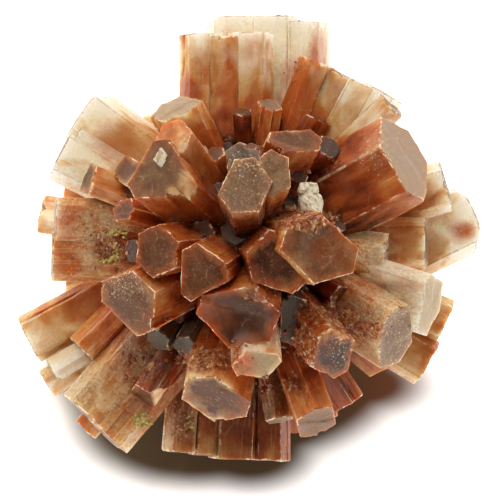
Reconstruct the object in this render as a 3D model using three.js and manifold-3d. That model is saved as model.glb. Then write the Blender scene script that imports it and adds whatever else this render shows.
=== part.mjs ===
// Aragonite sputnik cluster: stout six-sided crystals grown outward in every direction from one
// point, joined in a single closed solid that rests on the flat end of its lowest crystal.
// Millimetres, +Z up. The origin is the middle of the flat spot that the cluster rests on.
import * as THREE from 'three';
import { mergeVertices } from 'three/addons/utils/BufferGeometryUtils.js';
import Module from 'manifold-3d';

const wasm = await Module();
wasm.setup();
const { Manifold, Mesh: SolidMesh } = wasm;

// Driving dimensions.
const CORE_HEIGHT = 21.5;      // from the ground to the point that all the crystals grow from
const CORE_RADIUS = 12;        // grown-together middle, hidden between the crystals
const CORE_DETAIL = 3;         // how finely the middle is faceted
const ROOT = 1;                // where each crystal starts, measured along it from the core
const FRONT_POLE = 55;         // degrees above the ground of the direction that leans start from
const SIDE_TURN = 60;          // degrees between the neighbouring side faces of a crystal
const SIDE_COUNT = 6;          // side faces of a crystal
const CUTTER = 60;             // size of the blocks that break a corner or level the ground
const PIT_SIDES = 9;           // facets round a hollow in a crystal's end
const SAME_POINT = 1e-4;       // corners nearer than this are one corner

// The small crystals that line the clefts, spread evenly in every direction.
const SMALL_COUNT = 220;
const SMALL_ROOT = 8;          // where each starts, measured from the core
const SMALL_REACH = [12.6, 16.4];
const SMALL_RADIUS = [0.9, 1.9];
const SMALL_ASIDE = 0.35;      // how far one may turn aside, as a share of its length

// Steps that set their sizes and directions apart.
const GOLDEN_STEP = (Math.sqrt(5) - 1) / 2;
const REACH_STEP = Math.SQRT2;
const RADIUS_STEP = Math.sqrt(3);
const ASIDE_X_STEP = Math.sqrt(7);
const ASIDE_Y_STEP = Math.sqrt(11);
const ASIDE_Z_STEP = Math.sqrt(13);

// The directions that bearings and leans are measured in: right, up along the face, and out of it.
const pole = THREE.MathUtils.degToRad(FRONT_POLE);
const RIGHT = new THREE.Vector3(1, 0, 0);
const UP = new THREE.Vector3(0, Math.sin(pole), Math.cos(pole));
const FRONT = new THREE.Vector3(0, -Math.cos(pole), Math.sin(pole));
const CORE = new THREE.Vector3(0, 0, CORE_HEIGHT);

// Side faces of a crystal that is seen from the side: its width, the length of its two flanks, and
// how far the ridge between its two front faces lies off the middle.
function blade(width, flank, skew = 0) {
  const slanted = Math.sqrt(3) / 4 * flank + width / 4;
  const front = [slanted + skew, slanted - skew];
  return [width / 2, slanted, slanted, width / 2, ...front];
}

// Side faces of a crystal with one flat face towards the front, at a roll of 30 degrees: the width
// of that face, and how far it and the one behind it lie from the axis.
function slab(width, depth) {
  const slanted = Math.sqrt(3) / 4 * width + depth / 2;
  return [slanted, depth, slanted, slanted, depth, slanted];
}

// One row for each crystal.
//   at     bearing, in degrees clockwise from UP, and lean, in degrees away from FRONT
//   reach  from the core to the end face
//   roll   turn of the first side face, in degrees
//   sides  distance of each side face from the axis, in steps of SIDE_TURN
//   shift  how far the axis passes beside the core, clockwise and away from FRONT
//   chips  planes that break an edge of the end: the direction across the end and the steepness
//          from the end face, both in degrees, and the distance from the middle of the end
//   pit    width and depth of a hollow in the end
const CRYSTALS = [
  // Ends that look forward, round the front pole.
  { at: [352, 15], reach: 22.5, roll: 28, sides: [3.1, 3, 1.8, 2.4, 2.9, 2.8], chips: [[260, 38, 1.9]] },
  { at: [22, 21], reach: 21.8, roll: 24, sides: [1.4, 2, 2.4, 1.8, 2.8, 2.2] },
  { at: [354, 25], reach: 20.8, roll: 0, sides: [2.3, 1.8, 1.6, 1.4, 2, 2] },
  { at: [264, 25], reach: 22, roll: 18, sides: [2.7, 2.5, 2.5, 2.3, 2.4, 2.5], chips: [[350, 30, 1.3]] },
  { at: [236, 14], reach: 22.5, roll: 54, sides: [2.4, 3.2, 2, 2.6, 2.3, 3.1], chips: [[60, 35, 1.7]] },
  { at: [122, 9], reach: 21, roll: 16, sides: [2.9, 3.9, 2.4, 2.9, 2.8, 2.9] },
  { at: [94, 19], reach: 22.5, roll: 20, sides: [3.5, 4.2, 2.9, 3.6, 4.1, 3.2], pit: [4.6, 0.7] },
  { at: [187, 21], reach: 21.5, roll: 48, sides: [3.1, 3.2, 3.9, 3.6, 3.2, 4.3], pit: [6.2, 1.4] },
  { at: [243, 39], reach: 22, roll: 54, sides: [3.5, 2.3, 3.5, 3.4, 3.6, 3.2], chips: [[300, 40, 2.3]] },
  { at: [309, 33], reach: 22, roll: 40, sides: [3.4, 2.3, 3.6, 3.1, 4.2, 2.7], chips: [[278, 45, 1.6]] },
  { at: [192, 45], reach: 21.8, roll: 0, sides: [3.5, 4.3, 4.8, 3.7, 1.2, 1.9] },
  { at: [176, 33], reach: 23, roll: 20, sides: [2.5, 1.8, 1.9, 2.6, 1.7, 2] },
  { at: [142, 43], reach: 21.5, roll: 20, sides: [2.5, 3.1, 2.1, 2.4, 3.4, 2.6], chips: [[262, 40, 1.9]] },
  { at: [25, 40], reach: 18.5, roll: 8, sides: [2.7, 2.6, 1.4, 3, 2.8, 1.6] },
  { at: [150, 34], reach: 17, roll: 34, sides: [2.6, 3, 1.5, 2.8, 3.1, 1.4] },
  { at: [211, 50], reach: 16.6, roll: 10, sides: [1.4, 1.6, 1.5, 1.4, 1.6, 1.5] },
  { at: [223, 55], reach: 17, roll: 25, sides: [1.4, 1.6, 1.5, 1.4, 1.6, 1.5] },
  { at: [324, 39], reach: 21.2, roll: 5, sides: [2.1, 2.2, 2, 2, 2.2, 2], chips: [[20, 35, 1.1]] },
  { at: [9, 65], reach: 16.4, roll: 15, sides: [1.2, 1.5, 1.5, 1.2, 1.5, 1.5] },
  { at: [285, 45], reach: 19, roll: 15, sides: [1.2, 1.6, 1.5, 1.2, 1.5, 1.5] },
  { at: [52, 28], reach: 16.8, roll: 40, sides: [1.3, 1.5, 1.1, 1.2, 1.4, 1.2], chips: [[300, 40, 0.7]] },

  // Ends that are seen at a glancing angle.
  { at: [61, 64], reach: 21, roll: 32, sides: [4.1, 4.7, 4.2, 4.3, 4.5, 5], chips: [[20, 55, 3.5]] },
  { at: [332, 68], reach: 17.7, roll: 22, sides: [2.1, 3, 2.9, 2.6, 2.6, 3.3] },
  { at: [159, 64], reach: 22.5, roll: 56, sides: [3.2, 3, 2.1, 3.1, 3, 2.1], chips: [[190, 35, 1.9]] },
  { at: [123, 60], reach: 21.2, roll: 30, sides: [3.8, 4.2, 2.7, 3.9, 4, 2.4] },
  { at: [108, 69], reach: 21.9, roll: 56, sides: [3.6, 3.2, 2.7, 4.2, 2.9, 3.5] },
  { at: [292, 74], reach: 19.2, roll: 0, sides: blade(3.4, 4, 0.2), chips: [[230, 40, 1.5]] },
  { at: [301, 62], reach: 17, roll: 0, sides: blade(3, 4, -0.2) },
  { at: [46, 80], reach: 21.7, roll: 10, sides: [1.7, 1.9, 1.8, 1.7, 1.9, 1.8], chips: [[300, 40, 1]] },
  { at: [170, 74], reach: 20, roll: 10, sides: [1.4, 1.3, 1.3, 1.4, 1.3, 1.3] },
  { at: [214, 70], reach: 21, roll: 0, sides: blade(3.2, 4.5, 0.3), chips: [[200, 50, 0.9]] },

  // The double block at the top, its three near columns and the three behind them.
  { at: [0, 90], reach: 22.5, roll: 30, sides: slab(2.2, 2.1), shift: [-5.2, -1.6] },
  { at: [0, 90], reach: 22.3, roll: 30, sides: slab(3.4, 1.9), shift: [-2.6, -1.6] },
  { at: [0, 90], reach: 22.6, roll: 30, sides: slab(2.7, 2.1), shift: [0.3, -1.6] },
  { at: [0, 92], reach: 24.9, roll: 30, sides: slab(4.5, 2), shift: [-1.5, 3.8], chips: [[180, 45, 1.3]] },
  { at: [0, 92], reach: 25, roll: 30, sides: slab(3.9, 2.2), shift: [2.4, 3.8] },
  { at: [1, 92], reach: 24.4, roll: 30, sides: slab(3.2, 2.4), shift: [5.7, 3.8] },

  // The fan to the upper right.
  { at: [21, 85], reach: 21, roll: 30, sides: slab(2.1, 2.2), shift: [0.2, 0] },
  { at: [26, 85], reach: 20.9, roll: 30, sides: slab(2.6, 2), shift: [1, 0] },
  { at: [29, 85], reach: 21.1, roll: 30, sides: slab(2.6, 2.3), shift: [2.4, 0] },
  { at: [32, 85], reach: 21.6, roll: 30, sides: slab(2.6, 2), shift: [3.7, 0] },

  // The right side.
  { at: [74, 88], reach: 22.4, roll: 30, sides: slab(3.6, 2), shift: [0, 1] },
  { at: [64, 93], reach: 23.9, roll: 30, sides: slab(6, 2), shift: [7.9, 3.4],
    chips: [[0, 35, 0.8], [180, 35, 1]] },
  { at: [90, 87], reach: 19.4, roll: 30, sides: slab(3.6, 1.9), shift: [0, -0.6] },
  { at: [97, 84], reach: 15.4, roll: 30, sides: slab(3, 2.4), shift: [0, -5.2] },
  { at: [111, 93], reach: 23.2, roll: 30, sides: slab(3.2, 1.7), shift: [0.2, 0] },
  { at: [121, 93], reach: 23.6, roll: 30, sides: slab(3.6, 1.7), shift: [1.2, 0.2] },
  { at: [147, 98], reach: 20.4, roll: 0, sides: blade(4.2, 6, 0.3), shift: [0.5, 0] },

  // The block at the bottom, four columns side by side.
  { at: [184, 89], reach: 23, roll: 30, sides: slab(2.5, 2.2), shift: [5.3, -1] },
  { at: [183, 89], reach: 23.1, roll: 30, sides: slab(2.2, 2), shift: [3.1, -1] },
  { at: [182, 89], reach: 23.3, roll: 30, sides: slab(3.6, 2.2), shift: [0.5, -1] },
  { at: [180, 89], reach: 23.5, roll: 30, sides: slab(2.5, 1.9), shift: [-2.3, -1] },

  // The lower left.
  { at: [221, 82], reach: 25.6, roll: 30, sides: slab(3.8, 2.2), shift: [1.2, -1] },
  { at: [221, 82], reach: 25.9, roll: 30, sides: slab(3.4, 2), shift: [-2.2, -1] },
  { at: [224, 84], reach: 21, roll: 30, sides: slab(2, 2), shift: [4.6, -0.5] },
  { at: [221, 98], reach: 27, roll: 0, sides: blade(3, 4, 0.2) },
  { at: [242, 92], reach: 25.8, roll: 30, sides: slab(3.8, 1.6), shift: [1.9, -1] },
  { at: [240, 88], reach: 25.3, roll: 0, sides: blade(2.8, 4, 0.2), shift: [-1.3, 0] },
  { at: [236, 90], reach: 26.6, roll: 0, sides: blade(3.4, 4), shift: [-0.5, 1] },

  // The left side.
  { at: [271, 82], reach: 21.1, roll: 30, sides: slab(4, 1.4), shift: [1.8, -2] },
  { at: [271, 82], reach: 21.4, roll: 30, sides: slab(4, 1.3), shift: [-1.8, -2] },
  { at: [279, 96], reach: 22.9, roll: 0, sides: blade(4.2, 5, 0.3), shift: [-0.4, 2] },
  { at: [298, 88], reach: 22.5, roll: 30, sides: slab(4, 2.2), shift: [-0.8, -0.8] },
  { at: [306, 88], reach: 22.8, roll: 30, sides: slab(4.4, 2.3), shift: [0.9, -0.8], chips: [[0, 45, 1.2]] },
  { at: [302, 87], reach: 21.9, roll: 30, sides: slab(1.4, 1.6), shift: [0.3, -1.3] },

  // Behind the rim.
  { at: [8, 113], reach: 21.5, roll: 0, sides: [2.6, 3.4, 3.1, 2.5, 3.5, 3.2] },
  { at: [8, 113], reach: 22.3, roll: 0, sides: blade(3.2, 5), shift: [3.8, 0.4] },
  { at: [38, 110], reach: 21.4, roll: 8, sides: [2.9, 3.6, 3.3, 2.8, 3.4, 3.5], chips: [[100, 40, 2.4]] },
  { at: [40, 112], reach: 21.4, roll: 8, sides: blade(2.8, 4.6), shift: [-4, 0] },
  { at: [72, 116], reach: 22.8, roll: 22, sides: [3.4, 3.2, 3.7, 3.5, 3.1, 3.6] },
  { at: [100, 114], reach: 21, roll: 4, sides: [2.6, 3.1, 2.9, 2.7, 3.2, 3], chips: [[60, 38, 1.9]] },
  { at: [129, 118], reach: 22, roll: 12, sides: [2.8, 3.4, 3.2, 2.9, 3.3, 3.1] },
  { at: [127, 119], reach: 21.2, roll: 12, sides: blade(2.8, 4.4), shift: [-4, 0.3] },
  { at: [160, 112], reach: 22.2, roll: 3, sides: [3.1, 3.4, 3.2, 3, 3.3, 3.5] },
  { at: [197, 114], reach: 21, roll: 16, sides: [2.5, 3, 2.8, 2.6, 2.9, 3.1] },
  { at: [222, 120], reach: 22.6, roll: 26, sides: [3.4, 3.6, 3.3, 3.5, 3.4, 3.7], chips: [[150, 42, 2.7]] },
  { at: [255, 114], reach: 21.5, roll: 5, sides: [2.8, 3.2, 3, 2.9, 3.3, 2.8] },
  { at: [255, 115], reach: 20.8, roll: 5, sides: blade(2.6, 4.6), shift: [3.9, 0] },
  { at: [285, 119], reach: 22.4, roll: 18, sides: [3.1, 3.5, 3.3, 3.2, 3.4, 3.2] },
  { at: [317, 112], reach: 18.4, roll: 9, sides: [2.6, 3, 2.8, 2.5, 3.1, 2.9], chips: [[40, 35, 1.8]] },
  { at: [344, 121], reach: 21.2, roll: 28, sides: [2.7, 2.9, 3.1, 2.6, 3, 2.8] },

  // The far side, round the foot.
  { at: [20, 143], reach: 22.4, roll: 14, sides: [3.5, 3.8, 3.6, 3.4, 3.7, 3.9], pit: [4.4, 0.8] },
  { at: [74, 146], reach: 21.6, roll: 2, sides: [3.1, 3.6, 3.4, 3.2, 3.5, 3.3] },
  { at: [76, 147], reach: 20.9, roll: 2, sides: blade(3, 5), shift: [-4.2, 0.5] },
  { at: [127, 145], reach: 22.8, roll: 20, sides: [3.2, 3.5, 3.4, 3.3, 3.6, 3.2], chips: [[210, 40, 2.6]] },
  { at: [180, 145], reach: CORE_HEIGHT, roll: 10, sides: [4.3, 4.6, 4.4, 4.2, 4.7, 4.5] },
  { at: [232, 145], reach: 22.9, roll: 7, sides: [3.3, 3.7, 3.4, 3.2, 3.6, 3.5] },
  { at: [288, 147], reach: 22, roll: 24, sides: [3.5, 3.3, 3.6, 3.4, 3.7, 3.2] },
  { at: [331, 143], reach: 21.4, roll: 11, sides: [2.8, 3.2, 3, 2.9, 3.1, 3.3], chips: [[330, 38, 2.1]] },
  { at: [0, 172], reach: 22.4, roll: 17, sides: [3.6, 3.9, 3.7, 3.5, 3.8, 4] },
  { at: [4, 170], reach: 21.5, roll: 17, sides: blade(3, 5), shift: [4.8, 0] },

  // A chip lodged on the end of a front crystal.
  { at: [314, 34], reach: 22.8, roll: 50, sides: [1, 0.4, 0.6, 0.9, 0.5, 0.8] },
];

// Turns a closed three.js shape into a solid that can be joined and cut.
function toSolid(geometry) {
  const bare = geometry.clone();
  bare.deleteAttribute('normal');
  bare.deleteAttribute('uv');
  const merged = mergeVertices(bare, SAME_POINT);
  return new Manifold(new SolidMesh({
    numProp: 3,
    vertProperties: new Float32Array(merged.attributes.position.array),
    triVerts: new Uint32Array(merged.index.array),
  }));
}

// Turns a solid back into a flat-shaded three.js shape.
function toGeometry(solid) {
  const mesh = solid.getMesh();
  const geometry = new THREE.BufferGeometry();
  geometry.setAttribute('position', new THREE.BufferAttribute(mesh.vertProperties, 3));
  geometry.setIndex(new THREE.BufferAttribute(mesh.triVerts, 1));
  geometry.computeVertexNormals();
  return geometry;
}

// The corners of a crystal's section: where each side face's line meets the next one's.
function section({ roll, sides }) {
  const angles = sides.map((side, i) => THREE.MathUtils.degToRad(roll + SIDE_TURN * i));
  const turn = Math.sin(THREE.MathUtils.degToRad(SIDE_TURN));
  const shape = new THREE.Shape();
  sides.forEach((near, i) => {
    const after = (i + 1) % sides.length;
    const [a, b, far] = [angles[i], angles[after], sides[after]];
    const x = (near * Math.sin(b) - far * Math.sin(a)) / turn;
    const y = (far * Math.cos(a) - near * Math.cos(b)) / turn;
    if (i === 0) shape.moveTo(x, y);
    else shape.lineTo(x, y);
  });
  return shape;
}

// The frame that a crystal grows in: clockwise, away from the front pole, and along its axis,
// with its origin beside the core.
function crystalFrame({ at, shift = [0, 0] }) {
  const [bearing, lean] = at.map(THREE.MathUtils.degToRad);
  const across = new THREE.Vector3();
  across.addScaledVector(RIGHT, Math.cos(bearing));
  across.addScaledVector(UP, -Math.sin(bearing));
  const meridian = new THREE.Vector3();
  meridian.addScaledVector(RIGHT, Math.sin(bearing));
  meridian.addScaledVector(UP, Math.cos(bearing));
  const along = new THREE.Vector3();
  along.addScaledVector(FRONT, Math.cos(lean));
  along.addScaledVector(meridian, Math.sin(lean));
  const outward = new THREE.Vector3().crossVectors(along, across);
  const origin = CORE.clone();
  origin.addScaledVector(across, shift[0]);
  origin.addScaledVector(outward, shift[1]);
  return new THREE.Matrix4().makeBasis(across, outward, along).setPosition(origin);
}

// A value from 0 to 1 that differs from one small crystal to the next: the fraction of its number
// times an irrational step.
function scatter(number, step) {
  return (number * step) % 1;
}

// A small crystal: a six-sided column that points outwards. Its direction follows a spiral from
// pole to pole round the core, turned aside a little.
function growSmall(number) {
  const polar = Math.acos(1 - (2 * (number + 0.5)) / SMALL_COUNT);
  const azimuth = 2 * Math.PI * scatter(number, GOLDEN_STEP);
  const along = new THREE.Vector3().setFromSphericalCoords(1, polar, azimuth);
  const aside = [ASIDE_X_STEP, ASIDE_Y_STEP, ASIDE_Z_STEP].map((step) => scatter(number, step) - 0.5);
  along.addScaledVector(new THREE.Vector3(...aside), SMALL_ASIDE).normalize();
  const reach = THREE.MathUtils.lerp(...SMALL_REACH, scatter(number, REACH_STEP));
  const radius = THREE.MathUtils.lerp(...SMALL_RADIUS, scatter(number, RADIUS_STEP));
  const column = new THREE.CylinderGeometry(radius, radius, reach - SMALL_ROOT, SIDE_COUNT);
  column.translate(0, (reach + SMALL_ROOT) / 2, 0);
  column.applyQuaternion(new THREE.Quaternion().setFromUnitVectors(new THREE.Vector3(0, 1, 0), along));
  return toSolid(column.translate(CORE.x, CORE.y, CORE.z));
}

// A block that takes away everything beyond a broken face of the end.
function chipCutter(reach, [direction, steepness, distance]) {
  const [turn, tilt] = [direction, steepness].map(THREE.MathUtils.degToRad);
  const facing = new THREE.Vector3(
    Math.sin(tilt) * Math.cos(turn),
    Math.sin(tilt) * Math.sin(turn),
    Math.cos(tilt),
  );
  const block = new THREE.BoxGeometry(CUTTER, CUTTER, CUTTER);
  block.translate(0, 0, CUTTER / 2 + distance);
  block.applyQuaternion(new THREE.Quaternion().setFromUnitVectors(new THREE.Vector3(0, 0, 1), facing));
  return toSolid(block.translate(0, 0, reach));
}

// A low cone, point down, that hollows the end.
function pitCutter(reach, [width, depth]) {
  const cone = new THREE.ConeGeometry(width, 2 * depth, PIT_SIDES);
  return toSolid(cone.rotateX(-Math.PI / 2).translate(0, 0, reach));
}

function growCrystal(row) {
  const { reach, chips = [], pit } = row;
  const column = new THREE.ExtrudeGeometry(section(row), { depth: reach - ROOT, bevelEnabled: false });
  let crystal = toSolid(column.translate(0, 0, ROOT));
  for (const chip of chips) crystal = crystal.subtract(chipCutter(reach, chip));
  if (pit) crystal = crystal.subtract(pitCutter(reach, pit));
  return toSolid(toGeometry(crystal).applyMatrix4(crystalFrame(row)));
}

// All the crystals and the middle they share, cut level where the cluster rests.
function growCluster() {
  const middle = new THREE.IcosahedronGeometry(CORE_RADIUS, CORE_DETAIL);
  let cluster = toSolid(middle.translate(CORE.x, CORE.y, CORE.z));
  for (const row of CRYSTALS) cluster = cluster.add(growCrystal(row));
  for (let number = 0; number < SMALL_COUNT; number += 1) cluster = cluster.add(growSmall(number));
  const ground = new THREE.BoxGeometry(CUTTER * 2, CUTTER * 2, CUTTER);
  return toGeometry(cluster.subtract(toSolid(ground.translate(0, 0, -CUTTER / 2))));
}

const aragonite = new THREE.MeshStandardMaterial({
  name: 'iron-stained aragonite',
  color: 0xa8663c,
  roughness: 0.42,
  metalness: 0,
  flatShading: true,
});

const cluster = new THREE.Mesh(growCluster(), aragonite);
cluster.name = 'aragonite_cluster';

const part = new THREE.Group();
part.name = 'aragonite_sputnik_cluster';
part.add(cluster);

export default part;
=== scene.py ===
import math

import bpy
import numpy as np
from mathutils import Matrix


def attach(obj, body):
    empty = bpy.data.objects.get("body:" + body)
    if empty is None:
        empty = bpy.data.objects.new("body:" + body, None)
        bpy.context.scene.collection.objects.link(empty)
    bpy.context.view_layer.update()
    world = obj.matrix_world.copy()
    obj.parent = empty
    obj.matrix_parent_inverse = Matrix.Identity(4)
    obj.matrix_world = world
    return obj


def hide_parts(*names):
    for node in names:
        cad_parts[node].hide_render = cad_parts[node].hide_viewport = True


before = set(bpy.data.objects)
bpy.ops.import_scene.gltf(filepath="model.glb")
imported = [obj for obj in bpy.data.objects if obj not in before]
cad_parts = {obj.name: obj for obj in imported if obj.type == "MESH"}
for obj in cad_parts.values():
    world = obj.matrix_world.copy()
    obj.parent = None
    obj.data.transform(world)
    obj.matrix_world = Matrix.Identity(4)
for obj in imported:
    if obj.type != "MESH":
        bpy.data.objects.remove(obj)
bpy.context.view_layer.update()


# The crystal cluster.
# The whole specimen is one piece of aragonite: stout six-sided twinned crystals that grew outward
# in every direction from one point and into each other, stained by iron from the clay around them.

# Lengths are millimetres until a mesh is finished. Directions are told by the front pole, which
# points from the core to the viewer: a bearing turns clockwise round it from straight up, and a
# lean is the angle away from it.
CORE = np.array([0, 0, 21.5])
CORE_RADIUS = 12.0
CORE_SWELLING, CORE_SWELLING_SIZE = 0.4, 3.0
CORE_STEPS = (64, 32)
ROOT = 1.0
FRONT_POLE = math.radians(55)
RIGHT = np.array([1, 0, 0])
UP = np.array([0, math.sin(FRONT_POLE), math.cos(FRONT_POLE)])
FRONT = np.array([0, -math.cos(FRONT_POLE), math.sin(FRONT_POLE)])
MM = 0.001


def blade(width, flank, skew=0.0):
    """Side faces of a crystal seen from the side, by its width, the length of its two flanks, and
    how far the ridge between its two front faces lies off the middle."""
    slanted = math.sqrt(3) / 4 * flank + width / 4
    return (width / 2, slanted, slanted, width / 2, slanted + skew, slanted - skew)


def slab(width, depth):
    """Side faces of a crystal with one flat face towards the viewer, at a roll of 30 degrees: the
    width of that face, and how far it and the one behind it lie from the axis."""
    slanted = math.sqrt(3) / 4 * width + depth / 2
    return (slanted, depth, slanted, slanted, depth, slanted)


def crystal(at, reach, roll, sides, shift=(0, 0), chips=(), pit=None, cream=0.5, grey_end_and_sheen=0.5,
            rust=0.5, frost=0.3):
    """One crystal: bearing and lean of its axis in degrees, reach from the core to its end face, turn of the
    first side face, distances of the six side faces, how far the axis passes beside the core, broken corners
    (for each its direction and steepness in degrees, and its distance from the middle of the end), a hollow
    (its width and depth), and how pale its sides, how grey its end (partly a painted sheen), how rusty (below
    zero smoky grey, which on three small crystals deep in the front clefts is painted shade) and how finely
    pitted it is (which also sets its painted glints and sheen)."""
    return dict(at=at, reach=reach, roll=roll, sides=sides, shift=shift, chips=chips, pit=pit,
                cream=cream, grey_end_and_sheen=grey_end_and_sheen, rust=rust, frost=frost)


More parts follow.
